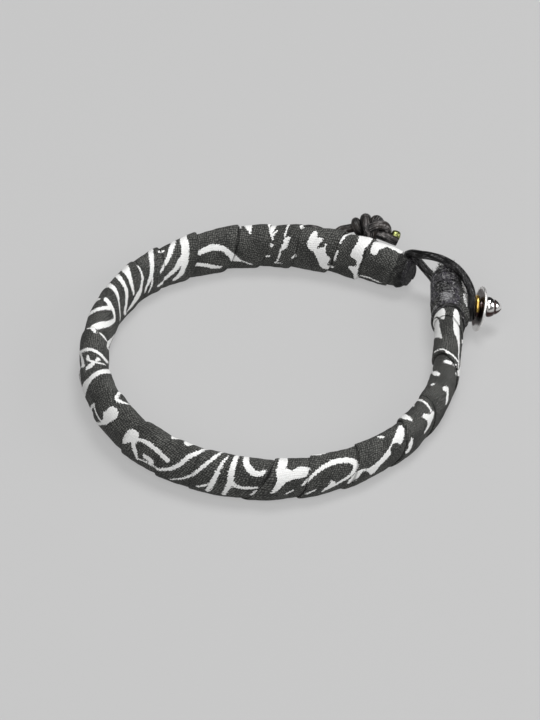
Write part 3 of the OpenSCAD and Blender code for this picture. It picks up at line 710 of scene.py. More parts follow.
def cloth_colour(m, band, cloth, weave, speck):
    """Charcoal ground with raised grey threads that are partly painted highlight, the white print over it,
    and painted shade in the creases
    """
    depth = m.attribute("print_depth").outputs["Fac"]
    crease = m.attribute("crease").outputs["Fac"]
    worn = m.noise(cloth, scale=0.25, detail=3.0, roughness=0.6)
    ragged = m.maths("MULTIPLY_ADD", weave, 0.16, m.maths("MULTIPLY_ADD", speck, 0.62, -0.38))
    mask = m.ramp(m.maths("ADD", depth, ragged), -0.05, 0.07)
    # The raised threads are paler, partly as painted highlight on their tops
    lit = m.maths("MULTIPLY", weave, m.ramp(speck, 0.3, 0.66, 0.1, 1.5))
    lit = m.maths("MULTIPLY", lit, m.ramp(worn, 0.3, 0.7, 0.5, 1.4))
    ground = m.mixed(lit, tuple(band.dark_colour), tuple(band.tips_and_highlight_colour))
    thin = m.ramp(m.maths("MULTIPLY_ADD", weave, 0.3, speck), 0.36, 0.75, 0.8, 1.0)
    white = m.mixed(thin, THIN_PRINT, tuple(band.print_colour))
    colour = m.mixed(mask, ground, white)
    # Painted shade in the creases, under the folds and over the core
    return m.mixed(m.maths("MULTIPLY", crease, 0.94), colour, PAINTED_SHADE_COLOUR)


def cloth_material(band):
    """Printed plain-weave cotton: charcoal ground with white figures, ragged by the weave"""
    m = Recipe("printed_cotton")
    cloth = m.attribute("cloth").outputs["Vector"]
    weave, speck = woven(m, band, cloth)
    m.set(base_color=cloth_colour(m, band, cloth, weave, speck))
    m.set(roughness=0.95, specular_ior_level=0.12, sheen_weight=0.03)
    m.bump(m.maths("MULTIPLY_ADD", speck, 0.7, weave), WEAVE_BUMP, strength=0.6)
    return m.material


def leather_material(name, colour, shine, brown=0, painted_shade_from=None):
    """Round leather with fine pale streaks that are partly painted highlight, darker pores and a soft
    polish, and painted shade over its right end if asked
    """
    m = Recipe(name)
    grain = m.attribute("grain").outputs["Vector"]
    streak = m.noise(m.stretched(grain, scale=(0.3, 2.0, 2.0)), scale=1.3, detail=3.0, roughness=0.65)
    pores = m.noise(grain, scale=2.3, detail=2.0, roughness=0.6)
    dull = m.noise(grain, scale=0.6, detail=2.0)
    pale = np.array(colour) * (LEATHER_STREAK_AND_HIGHLIGHT + brown * np.array([3, 0, -2]))
    warm = np.array(colour) * (LEATHER_DULL + brown * np.array([3, 1.8, 1]))
    body = m.mixed(m.ramp(dull, 0.48, 0.66), tuple(colour), warm)
    # The pale streaks are partly painted highlight
    lit = m.maths("MULTIPLY", m.ramp(streak, 0.48, 0.64), m.ramp(pores, 0.42, 0.6, 0.25, 1.0))
    shown = m.mixed(lit, body, pale)
    # Painted shade over the knot's right part
    if painted_shade_from is not None:
        across = m.add("ShaderNodeSeparateXYZ", {0: m.place()}).outputs["X"]
        shade = m.ramp(across, painted_shade_from, painted_shade_from + KNOT_SHADE_EASE, 0.0, KNOT_SHADE_SHARE)
        shown = m.mixed(shade, shown, np.array(colour) * KNOT_SHADE)
    m.set(base_color=shown, roughness=m.ramp(dull, 0.3, 0.7, shine - 0.06, shine + 0.12))
    m.set(specular_ior_level=0.22)
    m.bump(m.maths("MULTIPLY_ADD", pores, 0.8, streak), LEATHER_BUMP, strength=0.9)
    return m.material


def waxed_material(band, cord):
    """Cloth and thread with black wax on them: grains, a purple-grey tint that is partly painted sheen,
    painted glints and shine, painted shade, and weave where bare
    """
    m = Recipe("waxed_thread")
    cloth = m.attribute("cloth").outputs["Vector"]
    wax = m.attribute("wax").outputs["Fac"]
    weave, speck = woven(m, band, cloth)
    bare = cloth_colour(m, band, cloth, weave, speck)
    place = m.place()
    grain = m.noise(place, scale=2600.0, detail=3.0, roughness=0.65)
    patch = m.noise(place, scale=420.0, detail=2.0, roughness=0.55)
    glint = m.noise(place, scale=2300.0, detail=1.0)
    colour = np.array(cord.thread_colour)
    body = m.mixed(m.ramp(patch, 0.42, 0.6), colour * WAX_BLACK, colour * WAX_PURPLE)
    body = m.mixed(m.ramp(grain, 0.46, 0.66, 0.0, 0.8), body, WAX_GRAINS)
    # Painted glints, and painted shine where the wax share is over 0.95
    body = m.mixed(m.ramp(glint, 0.64, 0.72, 0.0, 0.7), body, WAX_GLINTS)
    shiny = m.maths("MULTIPLY", m.ramp(wax, 0.95, 1.5), m.ramp(grain, 0.4, 0.62, 0.35, 1.0))
    body = m.mixed(shiny, body, WAX_SHINE)
    share = m.ramp(m.maths("ADD", wax, m.maths("MULTIPLY_ADD", patch, 0.9, -0.45)), 0.35, 0.65)
    rough_wax = m.ramp(grain, 0.3, 0.7, 0.62, 0.34)
    # Painted shade in the folds and near the face of end A, between the threads of end B and on the laid
    # threads
    dark = m.maths("MULTIPLY", m.attribute("crease").outputs["Fac"], 0.92)
    body = m.mixed(dark, m.mixed(share, bare, body), PAINTED_WAX_SHADE)
    m.set(base_color=body, specular_ior_level=0.3)
    m.set(roughness=m.maths("ADD", rough_wax, m.maths("MULTIPLY_ADD", share, -0.4, 0.4)))
    waxy = m.maths("MULTIPLY_ADD", glint, 0.8, grain)
    m.bump(m.maths("MULTIPLY_ADD", waxy, share, weave), WAX_BUMP, strength=0.9)
    return m.material


def fibre_material():
    """Loose cotton fibres, grey where they catch the light"""
    m = Recipe("cotton_fibres")
    tone = m.noise(m.place(), scale=2500.0, detail=2.0)
    m.set(base_color=m.mixed(m.ramp(tone, 0.4, 0.65), *FIBRE_COLOURS))
    m.set(roughness=0.9, specular_ior_level=0.2)
    return m.material


def metal_material(name, colour, roughness, tarnish):
    """Polished metal with fine scratches, a little tarnish in patches, dark patina in its recesses and
    painted dark reflection on undersides and the disc's face
    """
    m = Recipe(name)
    patina = m.attribute("patina").outputs["Fac"]
    place = m.place()
    fine = m.noise(m.stretched(place, scale=(1.0, 1.0, 9.0)), scale=2400.0, detail=3.0, roughness=0.6)
    patch = m.noise(place, scale=500.0, detail=2.0)
    body = m.mixed(m.ramp(patch, 0.45, 0.75, 0.0, 0.5), tuple(colour), tarnish)
    # Dark of the patina and of the painted dark reflection
    dark = m.ramp(m.maths("MULTIPLY_ADD", patch, 0.5, m.maths("ADD", patina, -0.25)), 0.2, 0.8)
    patina_and_reflection_colour = m.mixed(m.ramp(fine, 0.56, 0.7), *PATINA_AND_REFLECTION_COLOURS)
    body = m.mixed(dark, body, patina_and_reflection_colour)
    satin = m.maths("MAXIMUM", m.maths("MULTIPLY", patina, -0.5), 0.0)
    worn = m.maths("MULTIPLY_ADD", dark, 0.2, m.ramp(fine, 0.3, 0.7, roughness, roughness + 0.08))
    m.set(base_color=body, metallic=1.0, roughness=m.maths("ADD", worn, satin))
    m.bump(fine, SCRATCH_BUMP, strength=0.5)
    return m.material


# The white print as distances

# Steps between one point of a printed line or shape and the next
LINE_STEPS = 4
PATCH_STEPS = 2
# How far round the print its depth is worked out, in millimetres
PRINT_MARGIN = 1.2


def smooth_line(line):
    """A line of the print as (along, round, half width) points in millimetres"""
    p = smooth(line, LINE_STEPS)
    return np.stack([p[:, 0], round_outline(p[:, 1]), p[:, 2] / 2], axis=1)


def smooth_patch(patch):
    """A filled shape's outline as (along, round) points in millimetres"""
    p = smooth(patch, PATCH_STEPS, closed=True)
    return np.stack([p[:, 0], round_outline(p[:, 1])], axis=1)


def copied(shape, row):
    """A copy of a line or shape that lies within a row's limits, or None"""
    low, high, over_low, over_high, shift, turn = row
    s = np.array([p[0] for p in shape])
    v = np.array([p[1] for p in shape])
    if s.min() < low or s.max() > high or v.min() < over_low or v.max() > over_high:
        return None
    return tuple((p[0] + shift, p[1] + turn, *p[2:]) for p in shape)


def with_copies(shapes):
    extra = [copied(shape, row) for row in PRINT_COPIES for shape in shapes]
    return list(shapes) + [shape for shape in extra if shape is not None]


def near(places, shape):
    """Which places lie in the shape's box, grown by the margin"""
    low = shape[:, :2].min(axis=0) - PRINT_MARGIN
    high = shape[:, :2].max(axis=0) + PRINT_MARGIN
    return np.flatnonzero(np.all((places > low) & (places < high), axis=1))


def to_segments(places, a, b):
    """Share along each segment and distance to it"""
    way = b - a
    share = np.clip(((places[:, None] - a) * way).sum(-1) / np.maximum((way**2).sum(-1), TINY), 0, 1)
    off = places[:, None] - (a + share[..., None] * way)
    return share, np.sqrt((off**2).sum(-1))


def line_depth(places, line):
    """How deep in a line of changing width the places are"""
    share, off = to_segments(places, line[:-1, :2], line[1:, :2])
    half = line[:-1, 2] + share * (line[1:, 2] - line[:-1, 2])
    return (half - off).max(axis=1)


def patch_depth(places, patch):
    """How deep in a closed outline the places are"""
    a = patch
    b = np.roll(patch, -1, axis=0)
    off = to_segments(places, a, b)[1].min(axis=1)
    x, y = places[:, 0:1], places[:, 1:2]
    crosses = (a[:, 1] > y) != (b[:, 1] > y)
    rise = b[:, 1] - a[:, 1]
    rise = np.where(np.abs(rise) < TINY, TINY, rise)
    at = a[:, 0] + (y - a[:, 1]) / rise * (b[:, 0] - a[:, 0])
    inside = (crosses & (x < at)).sum(axis=1) % 2 == 1
    return np.where(inside, off, -off)


def print_depth(along, over):
    """Depth in the white print in millimetres, below zero outside it"""
    places = np.stack([along, round_outline(over)], axis=1)
    depth = np.full(len(places), -PRINT_MARGIN)
    for line in with_copies(PRINT_LINES):
        line = smooth_line(line)
        at = near(places, line)
        depth[at] = np.maximum(depth[at], line_depth(places[at], line))
    for patch in with_copies(PRINT_PATCHES):
        patch = smooth_patch(patch)
        at = near(places, patch)
        depth[at] = np.maximum(depth[at], patch_depth(places[at], patch))
    return depth


# The wound cloth

# The folded edge of a turn, from under it to its top
# columns: millimetres past the edge, height over the mean surface as a share of the edge step
FOLD_ROWS = (
    (0.55, -1.15), (0.25, -1.05), (0.05, -0.85), (-0.05, -0.5), (-0.06, -0.05), (0.02, 0.3),
    (0.15, 0.47), (0.34, 0.55), (0.6, 0.56),
)
# Rows over the rest of the turn, those under the next turn, and how it falls from the fold to them
BODY_ROWS = 27
UNDER_ROWS = ((-0.4, -0.5), (-0.2, -0.56), (-0.08, -0.66), (0.05, -0.76), (0.3, -0.86), (0.6, -1.0))
FALL_BEND = 1.25
# Where the winding starts and ends, in turns, the columns round each turn, and the least way between edges
WOUND_FROM = -1.2
WOUND_TO = len(TURNS) - 0.2
TURN_COLUMNS = 82
LEAST_SPACING = 2.0
# How far the strip and the core go under the bindings, in degrees
STRIP_TUCK = 0.6
CORE_TUCK = 1
# How the edges swing along the band, and how the height of their folds varies
# columns: random seed, turns from one swing to the next, strength
EDGE_WANDER = ((11, 1.1, 0.16), (12, 0.23, 0.035))
FOLD_WANDER = ((13, 0.9, 0.24), (14, 0.21, 0.06))
WANDER_WAVES = 5
WANDER_SPREAD = (0.6, 1.7)
# Soft dents and drawn folds
# columns: random seed, millimetres from one to the next, stretch round the section, height
DENTS = ((16, 9.0, 1.0, 0.07), (17, 1.9, 0.35, 0.028), (18, 0.9, 1.0, 0.008))
# The painted shade line before each edge, in millimetres before it and half its width, and the painted
# shade under the fold
CREASE_BEFORE = 0.02
CREASE_WIDTH = 0.3
DARK_FOLD = -0.1
# Slope of the weave in degrees on the first turns, and its mean, swing and step of the swing on the others
FIRST_SLOPE = 38
MEAN_SLOPE = 10
SLOPE_SWING = 9
SLOPE_STEP = 2.3
# How far the weave is shifted from one turn to the next, each way
WEAVE_SHIFT = (31.7, 13.1)
# How deep the core lies under the cloth
CORE_DEPTH = 0.62
CORE_RINGS = 150
CORE_SIDES = 24
# Faces below this many square millimetres are left out
LEAST_AREA = 1e-5


def cloth_rows():
    """Rows across a turn: share of the turn, millimetres past that, height share"""
    rows = [(0.0, offset, height) for offset, height in FOLD_ROWS]
    last_offset, last_height = FOLD_ROWS[-1]
    first_under, low = UNDER_ROWS[0]
    for t in np.linspace(0, 1, BODY_ROWS)[1:-1]:
        offset = last_offset * (1 - t) + first_under * t
        rows.append((t, offset, last_height - (last_height - low) * t**FALL_BEND))
    rows += [(1.0, offset, height) for offset, height in UNDER_ROWS]
    return np.array(rows)


def wander(turns, rows):
    """A smooth random number along the winding"""
    total = np.zeros_like(turns)
    for seed, wave, strength in rows:
        rng = np.random.default_rng(seed)
        swings = turns * 2 * math.pi / wave
        for _ in range(WANDER_WAVES):
            found = np.sin(swings * rng.uniform(*WANDER_SPREAD) + rng.uniform(0, 2 * math.pi))
            total += strength * found / 2
    return total


def weave_place(across, round_section, turn):
    """Millimetres in the direction of the threads; each turn of the strip lies at its own slope"""
    swung = MEAN_SLOPE + SLOPE_SWING * np.sin(turn * SLOPE_STEP)
    slope = np.radians(np.where(turn <= 1, FIRST_SLOPE, swung))
    x = across * np.cos(slope) + round_section * np.sin(slope) + WEAVE_SHIFT[0] * turn
    y = round_section * np.cos(slope) - across * np.sin(slope) + WEAVE_SHIFT[1] * turn
    return np.stack([x, y, np.zeros_like(x)], axis=-1).reshape(-1, 3)


def dents(s, u):
    """Height of the soft dents and drawn folds over the cloth, in millimetres"""
    places = np.stack([s.ravel(), u.ravel(), np.zeros(s.size)], axis=1)
    total = np.zeros(s.size)
    for seed, scale, stretch, height in DENTS:
        total += rough(places * (1, stretch, 1), seed, scale, height)
    return total.reshape(s.shape)


def real_faces(points, faces):
    """Leaves out the faces that have no area"""
    corners = points[faces]
    across = np.cross(corners[:, 2] - corners[:, 0], corners[:, 3] - corners[:, 1])
    return faces[np.linalg.norm(across, axis=1) / 2 > LEAST_AREA]


def cloth_mesh(shape, step):
    """The long folded strip, wound from end A to end B, as one sheet"""
    share, offset, fold = cloth_rows().T[:, :, None]
    turns = np.linspace(WOUND_FROM, WOUND_TO, TURN_COLUMNS * (len(TURNS) + 1))
    spacing = shape.along(shape.unwound(turns + 1)) - shape.along(shape.unwound(turns))
    spacing = np.maximum(spacing, LEAST_SPACING)
    ease = EDGE_EASE * np.sin(2 * math.pi * turns)
    q = turns + share + (offset + wander(turns, EDGE_WANDER)) / spacing - ease
    a = np.clip(shape.unwound(q), BINDING_A - STRIP_TUCK, BINDING_B + STRIP_TUCK)
    over = np.broadcast_to(-360 * (turns - np.round(turns)), a.shape)
    s = shape.along(a)
    u = round_outline(over)
    shows = np.interp(turns + share, np.arange(len(TURNS)), EDGE_SHOWS)
    height = step * fold * (1 + wander(turns, FOLD_WANDER)) * shows
    points = shape.surface(a, over, height + dents(s, u)).reshape(-1, 3)
    across = share * spacing + offset
    # Painted shade in a line before each edge and under each fold
    crease = np.clip(1 - np.abs(spacing - across - CREASE_BEFORE) / CREASE_WIDTH, 0, 1)
    crease = np.maximum(crease, (share == 0) & (fold < DARK_FOLD)) * shows
    attributes = {
        "print_depth": print_depth(s.ravel(), over.ravel()),
        "cloth": weave_place(across, u, np.round(turns)),
        "crease": crease.ravel(),
    }
    return points, real_faces(points, grid_faces(*a.shape, False)).tolist(), attributes


def core_mesh(shape):
    """The cloth inside the turns that show, as a closed tube in painted shade"""
    angles = np.linspace(BINDING_A - CORE_TUCK, BINDING_B + CORE_TUCK, CORE_RINGS)
    a, over = np.meshgrid(angles, degrees_round(CORE_SIDES), indexing="ij")
    attributes = {
        "print_depth": np.full(a.size, -PRINT_MARGIN),
        "cloth": np.stack([shape.along(a), round_outline(over), a * 0], axis=-1).reshape(-1, 3),
        "crease": np.ones(a.size),
    }
    points = shape.surface(a, over, -CORE_DEPTH).reshape(-1, 3)
    return points, tube_faces(CORE_RINGS, CORE_SIDES), attributes


def build_cloth(shape, band):
    cloth = joined([cloth_mesh(shape, band.edge_step / MM), core_mesh(shape)])
    piece = mesh_piece("cloth_turns", cloth_material(band), cloth)
    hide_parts("cloth_wrap")


# The bound ends

# start and face are the angles of a binding's ends, taper is the length over which its section falls to the
# share left at the face, ridge is the height of its thread's ridges, first_rise is the share of its rise at
# the start, and reach is how far from the face threads are laid, which end between the degrees of stops
Binding = namedtuple("Binding", (
    "piece", "node", "start", "face", "taper", "left", "ridge", "threads", "seed", "rise", "first_rise",
    "reach", "stops", "wax", "dark",
))
# The last two fields give a binding's laid threads their wax share, which over 0.95 paints shine on them,
# and their painted shade
BINDINGS = (
    Binding(
        piece="binding_a_cloth", node="end_binding_a", start=BINDING_A, face=A_FACE, taper=2.4, left=0.26,
        ridge=0.02, threads=6, seed=4, rise=0.2, first_rise=0.8, reach=0.7, stops=(110, 180), wax=0.9,
        dark=0.72,
    ),
    Binding(
        piece="binding_b_thread", node="end_binding_b", start=BINDING_B, face=B_END, taper=3.4, left=0.62,
        ridge=0.05, threads=19, seed=9, rise=0.3, first_rise=0.4, reach=8.0, stops=(22, 46), wax=1.05,
        dark=0.0,
    ),
)
BINDING_SIDES = 150
BINDING_STEP = 0.1
THREAD_PITCH = 0.46
# Distance over which a binding rises to its height
RISE_OVER = 0.9
# How far the thread's turns lean and waver along the band, and the share of a ridge that is sunk in
TURNS_LEAN = 0.6
TURNS_WAVER = 0.15
RIDGE_SUNK = 0.6
# Bumps and dents of a bound end: millimetres from one to the next, and the bumps' height over the ridges'
BUMP_SCALE = 0.7
BUMP_OVER_RIDGE = 1.3
DENT_SCALE = 2.0
DENT_HEIGHT = 0.08
# A laid thread: places along it, sides, degrees between which it starts, lean with its bends and phase,
# drift, lift and rounded tips
THREAD_PLACES = 44
THREAD_SIDES = 8
THREAD_STARTS = (-180, -120)
THREAD_LEAN = 1.6
THREAD_BENDS = 0.8
THREAD_PHASE = (0, 6)
THREAD_DRIFT = 1.2
THREAD_LIFT = (-0.04, 0.1)
THREAD_TIP = 0.2
# How far the wax of end A reaches from its face, how much further on its low side, and how that side is
# turned in degrees
WAX_REACH = 0.5
WAX_REACH_LOW = 1.5
LOW_SIDE_TURN = 25
# The wax on end B
WAX_B = 0.56
# Where the wax of end B glints with painted shine, in millimetres from its face and degrees from the top,
# and how widely
GLINT_AT = (8.9, -6)
GLINT_WIDE = (2.0, 26)
GLINT = 1.2
# The bare cloth on the outer side of end B, in degrees outward from the top
BARE_AT = 80
BARE_WIDTH = 33
# Its bulge, in the same degrees, its height, how far from the face that is reached, and the share there
BULGE_AT = 88
BULGE_WIDTH = 29
BULGE_HEIGHT = 0.95
BULGE_REACH = 3.0
BULGE_LEAST = 0.3
# How dark the painted shade is between the threads of end B, how far from its face, and over what distance
# that fades
BETWEEN_THREADS = 0.6
BETWEEN_REACH = 7.0
BETWEEN_FADE = 1.5
# The gathered folds of end A, sunk and darkened with painted shade: millimetres from one to the next,
# width, depth, reach from the face, and how many times that reach they end at
WRINKLE_SCALE = 1.5
WRINKLE_WIDE = 0.24
WRINKLE_DEPTH = 0.1
WRINKLE_REACH = 2.2
WRINKLE_ENDS = 1.3
# The painted shade of end A at its face and how far that reaches, and the scale and depth of its ragged
# edge
FACE_SHADE = 0.8
FACE_SHADE_REACH = 3.2
RAGGED_SCALE = 1.3
RAGGED_DEPTH = 0.9


def taper(shape, a, binding):
    """Share of the section left at each angle, less towards the end face"""
    x = np.clip(shape.apart(a, binding.face) / binding.taper, 0, 1)
    return np.sqrt(binding.left + (1 - binding.left) * (1 - (1 - x) ** 2))


def bare_share(over):
    """One on the outer side of end B, where the cloth is left bare"""
    return np.exp(-((over - BARE_AT) / BARE_WIDTH) ** 4)


def bare_bulge(shape, a, over):
    """How far the bare cloth of end B stands out, less close to its face"""
    outward = np.exp(-((over - BULGE_AT) / BULGE_WIDTH) ** 2)
    return BULGE_HEIGHT * outward * np.clip(shape.apart(a, B_END) / BULGE_REACH, BULGE_LEAST, 1)


def shade_between(shape, a, over):
    """Painted shade on the wax between the threads of end B"""
    near_face = np.clip((BETWEEN_REACH - shape.apart(a, B_END)) / BETWEEN_FADE, 0, 1)
    return BETWEEN_THREADS * near_face * (1 - bare_share(over))


def end_wrinkles(shape, a, base, binding):
    """Painted shade in the folds of the gathered cloth at a bound end and near its face, from zero to one
    """
    ragged = rough(base, binding.seed + 3, RAGGED_SCALE, RAGGED_DEPTH).reshape(a.shape)
    from_end = shape.apart(a, binding.face) + ragged
    off_fold = np.abs(rough(base, binding.seed + 2, WRINKLE_SCALE, 1.0)).reshape(a.shape)
    fold = np.clip(1 - off_fold / WRINKLE_WIDE, 0, 1)
    fold = fold * np.clip(WRINKLE_ENDS - from_end / WRINKLE_REACH, 0, 1)
    return np.maximum(fold, FACE_SHADE * np.clip(1 - from_end / FACE_SHADE_REACH, 0, 1))


def wax_share(shape, a, over, binding):
    """How much wax lies at each place of a bound end; over one where it glints with painted shine"""
    from_end = shape.apart(a, binding.face)
    if binding.face == A_FACE:
        low_side = np.clip(-np.sin(np.radians(over + LOW_SIDE_TURN)), 0, 1)
        return np.clip(1.0 - from_end / (WAX_REACH + WAX_REACH_LOW * low_side), 0, 1)
    along = (from_end - GLINT_AT[0]) / GLINT_WIDE[0]
    across = (over - GLINT_AT[1]) / GLINT_WIDE[1]
    return WAX_B + GLINT * np.exp(-along**2 - across**2) - bare_share(over)


def thread_height(shape, a, over, binding):
    """Height of a binding over the cloth, with the ridges of its thread"""
    s = shape.along(a)
    rise = np.clip(binding.first_rise + shape.apart(a, binding.start) / RISE_OVER, 0, 1)
    lean = TURNS_LEAN * np.sin(np.radians(over) + binding.seed)
    lean = lean + TURNS_WAVER * np.sin(np.radians(3 * over) + s)
    ridge = np.abs(np.sin(math.pi * (s + lean) / THREAD_PITCH)) - RIDGE_SUNK
    return binding.rise * rise + binding.ridge * ridge


def close_ends(points, faces, attributes, rings):
    """Adds a point in the middle of the first and the last ring, and the faces round it"""
    for ring in (0, rings - 1):
        first = ring * BINDING_SIDES
        middle = len(points)
        points = np.vstack([points, points[first:first + BINDING_SIDES].mean(axis=0)])
        for key, values in attributes.items():
            attributes[key] = np.concatenate([values, values[first:first + 1]])
        for k in range(BINDING_SIDES):
            corners = [first + k, first + (k + 1) % BINDING_SIDES, middle]
            faces.append(corners[::-1] if ring == 0 else corners)
    return points, faces, attributes


def binding_skin(shape, binding):
    """The bound end as a closed skin with the ridges of its thread"""
    rings = int(shape.apart(binding.face, binding.start) / BINDING_STEP)
    angles = np.linspace(binding.start, binding.face, rings)
    a, over = np.meshgrid(angles, degrees_round(BINDING_SIDES), indexing="ij")
    scale = taper(shape, a, binding)
    base = shape.surface(a, over, 0, scale).reshape(-1, 3)
    bumps = rough(base, binding.seed, BUMP_SCALE, binding.ridge * BUMP_OVER_RIDGE)
    bumps += rough(base, binding.seed + 1, DENT_SCALE, DENT_HEIGHT)
    height = thread_height(shape, a, over, binding) + bumps.reshape(a.shape)
    # The painted shade: in the folds and near the face of end A, and between the threads of end B
    if binding.face == A_FACE:
        dark = end_wrinkles(shape, a, base, binding)
        height = height - WRINKLE_DEPTH * dark
    else:
        dark = shade_between(shape, a, over)
        height = height + bare_bulge(shape, a, over)
    s = shape.along(a)
    attributes = {
        "cloth": weave_place(s, round_outline(over), np.ones(s.shape)),
        "print_depth": print_depth(s.ravel(), over.ravel()),
        "wax": wax_share(shape, a, over, binding).ravel(),
        "crease": dark.ravel(),
    }
    points = shape.surface(a, over, height, scale).reshape(-1, 3)
    return close_ends(points, grid_faces(rings, BINDING_SIDES, True).tolist(), attributes, rings)


def laid_thread(shape, binding, number, diameter):
    """One thread laid once round the end, with its own slope"""
    rng = np.random.default_rng(binding.seed * 100 + number)
    over = np.linspace(rng.uniform(*THREAD_STARTS), rng.uniform(*binding.stops), THREAD_PLACES)
    share = min(1, binding.reach / shape.apart(binding.face, binding.start))
    low, high = sorted((binding.face, binding.face + (binding.start - binding.face) * share))
    lean = rng.uniform(-THREAD_LEAN, THREAD_LEAN) * share
    a = rng.uniform(low, high)
    a = a + lean * np.sin(np.radians(over) * THREAD_BENDS + rng.uniform(*THREAD_PHASE))
    a = np.clip(a + rng.uniform(-THREAD_DRIFT, THREAD_DRIFT) * share * over / 180, low, high)
    line = shape.surface(a, over, binding.rise + rng.uniform(*THREAD_LIFT), taper(shape, a, binding))
    points, faces, grain = tube_mesh(smooth(line, 2), diameter / 2, THREAD_SIDES, (THREAD_TIP, THREAD_TIP))
    # The threads' wax share, which over 0.95 paints shine on them, and their painted shade
    attributes = {
        "cloth": grain["grain"],
        "print_depth": np.full(len(points), -PRINT_MARGIN),
        "wax": np.full(len(points), binding.wax),
        "crease": np.full(len(points), binding.dark),
    }
    return points, faces, attributes


def build_binding(shape, binding, cord, material):
    threads = [laid_thread(shape, binding, k, cord.thread_diameter / MM) for k in range(binding.threads)]
    bound = joined([binding_skin(shape, binding), *threads])
    piece = mesh_piece(binding.piece, material, bound)
    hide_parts(binding.node)


# Leather

# Steps between one point of a cord's route and the next, and of the bead's thread
ROUTE_STEPS = 6
THREAD_STEPS = 5
# Places along each lash of the thong
LASH_PLACES = 50
# Distance over which the leather's thickness changes
UNEVEN_OVER = 4.0


def leather_tube(line, diameter, seed, round_ends, sides=20, flat=1.0, uneven=0.012):
    """A leather cord with slightly uneven thickness"""
    radii = diameter / 2 * (1 + rough(line, seed, UNEVEN_OVER, uneven))
    return tube_mesh(line, radii, sides, round_ends, flat)


def build_loop(cord, material):
    line = smooth(LOOP_ROUTE, ROUTE_STEPS)
    tube = leather_tube(line, cord.diameter / MM, seed=3, round_ends=(0.25, 0.25))
    piece = mesh_piece("loop_cord_leather", material, tube)
    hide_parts("loop_cord")


def build_thong(shape, cord, material):
    wide = cord.thong_width / MM
    flat = cord.thong_thickness / cord.thong_width
    lashes = []
    for shift, grow, first, last in THONG_LASHES:
        over = 90 - np.linspace(first, last, LASH_PLACES)
        line = shape.surface(np.full(LASH_PLACES, THONG_AT + shift), over, grow)
        lashes.append(leather_tube(line, wide, seed=7, flat=flat, round_ends=(0.3, 0.3), uneven=0.05))
    piece = mesh_piece("stud_thong_leather", material, joined(lashes))
    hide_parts("stud_thong")


def knot_line():
    """The strand, the knot and the tail as one line, and its thickness"""
    x, up, nearer, thick = np.array(KNOT_ROUTE).T[:, :, None]
    knot = KNOT_AT + x * np.array([1, 0, 0]) + up * SEEN_UP + nearer * SEEN_NEARER
    thick = np.concatenate([np.ones((len(STRAND_ROUTE), 1)), thick])
    line = np.concatenate([np.array(STRAND_ROUTE), knot])
    found = smooth(np.concatenate([line, thick], axis=1), ROUTE_STEPS)
    return found[:, :3], found[:, 3]


def build_knot(cord, material):
    line, thick = knot_line()
    diameter = cord.diameter / MM * KNOT_SPREAD * thick
    tube = leather_tube(line, diameter, seed=5, uneven=0.03, round_ends=(0.2, 0.12))
    piece = mesh_piece("tied_cord_leather", material, tube)
    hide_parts("cord_knot")


def build_bead_thread(cord, material):
    line = smooth(BEAD_THREAD_ROUTE, THREAD_STEPS)
    tube = leather_tube(line, cord.bead_thread_diameter / MM, seed=6, sides=10, round_ends=(0.0, 0.15))
    piece = mesh_piece("bead_thread_twist", material, tube)
    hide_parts("bead_thread")


# Metal

STUD_AT = np.array([38.2, 13.4, 5.1])
STUD_SLOPE = math.radians(4)
STUD_AXIS = (math.cos(STUD_SLOPE), 0, -math.sin(STUD_SLOPE))
REVOLVE_SIDES = 96
LEAST_RADIUS = 0.002
SHARP_FOLD = math.radians(38)

# columns: distance along the stud's axis from the disc's rim, radius, patina, which is below zero where the
# metal is satin
STUD_PROFILE = (
    (-4.6, 0, 0), (-4.6, 0.9, 0.75), (0, 0.9, 0.75), (0.1, 1.2, 0.7), (0.6, 1.2, 0.75), (1.1, 1.2, 0.9),
    (1.12, 1.5, 0.5), (1.18, 1.7, 0.2), (1.3, 1.83, 0.1), (1.5, 1.9, 0), (1.75, 1.88, 0), (2.0, 1.82, 0),
    (2.3, 1.68, 0), (2.5, 1.55, 0.3), (2.57, 1.46, 0.9), (2.66, 1.37, 1.0), (2.76, 1.36, 0.9),
    (2.9, 1.33, 0.3), (3.2, 1.17, 0), (3.55, 0.88, 0), (3.82, 0.54, 0), (3.98, 0.25, 0), (4.03, 0, 0),
)
# The disc hangs a little low on the post and leans
DISC_AT = STUD_AT + np.array([-0.3, 0.0, -0.6])
DISC_AXIS = (0.955, 0.06, -0.26)
# columns as the stud's; the dark of the face towards the post is painted dark reflection, and the rim is
# satin
DISC_PROFILE = (
    (0.12, 0.8, 0.95), (0.14, 1.3, 0.95), (0.17, 2.0, 0.95), (0.18, 2.6, 0.95), (0.1, 3.4, 0.95),
    (0.05, 3.7, 0.9), (0.02, 3.85, 0.2), (0.0, 4.0, -0.6), (0.03, 4.11, -0.7), (0.11, 4.18, -0.7),
    (0.22, 4.2, -0.7), (0.34, 4.18, -0.7), (0.44, 4.1, -0.6), (0.5, 3.95, -0.3), (0.6, 3.5, 0),
    (0.74, 2.9, 0), (0.86, 2.1, 0.1), (0.93, 1.5, 0.5), (0.95, 0.8, 0.9),
)
# The disc has no patina or painted dark reflection below one height and less above another, as the camera
# sees it from its middle, which paints a pale low edge and a lighter upper part
DISC_PALE_UNDER = -3.3
DISC_LIGHTER_OVER = -0.7
DISC_EASE = 0.4
DISC_TOP_LIGHTENING = 0.32
# Painted dark reflection on an underside, how far up a side points where that starts, and over what turn it
# grows
UNDERSIDE_DARK_REFLECTION = 0.95
DOWN_FROM = 0.38
DOWN_EASE = 0.42
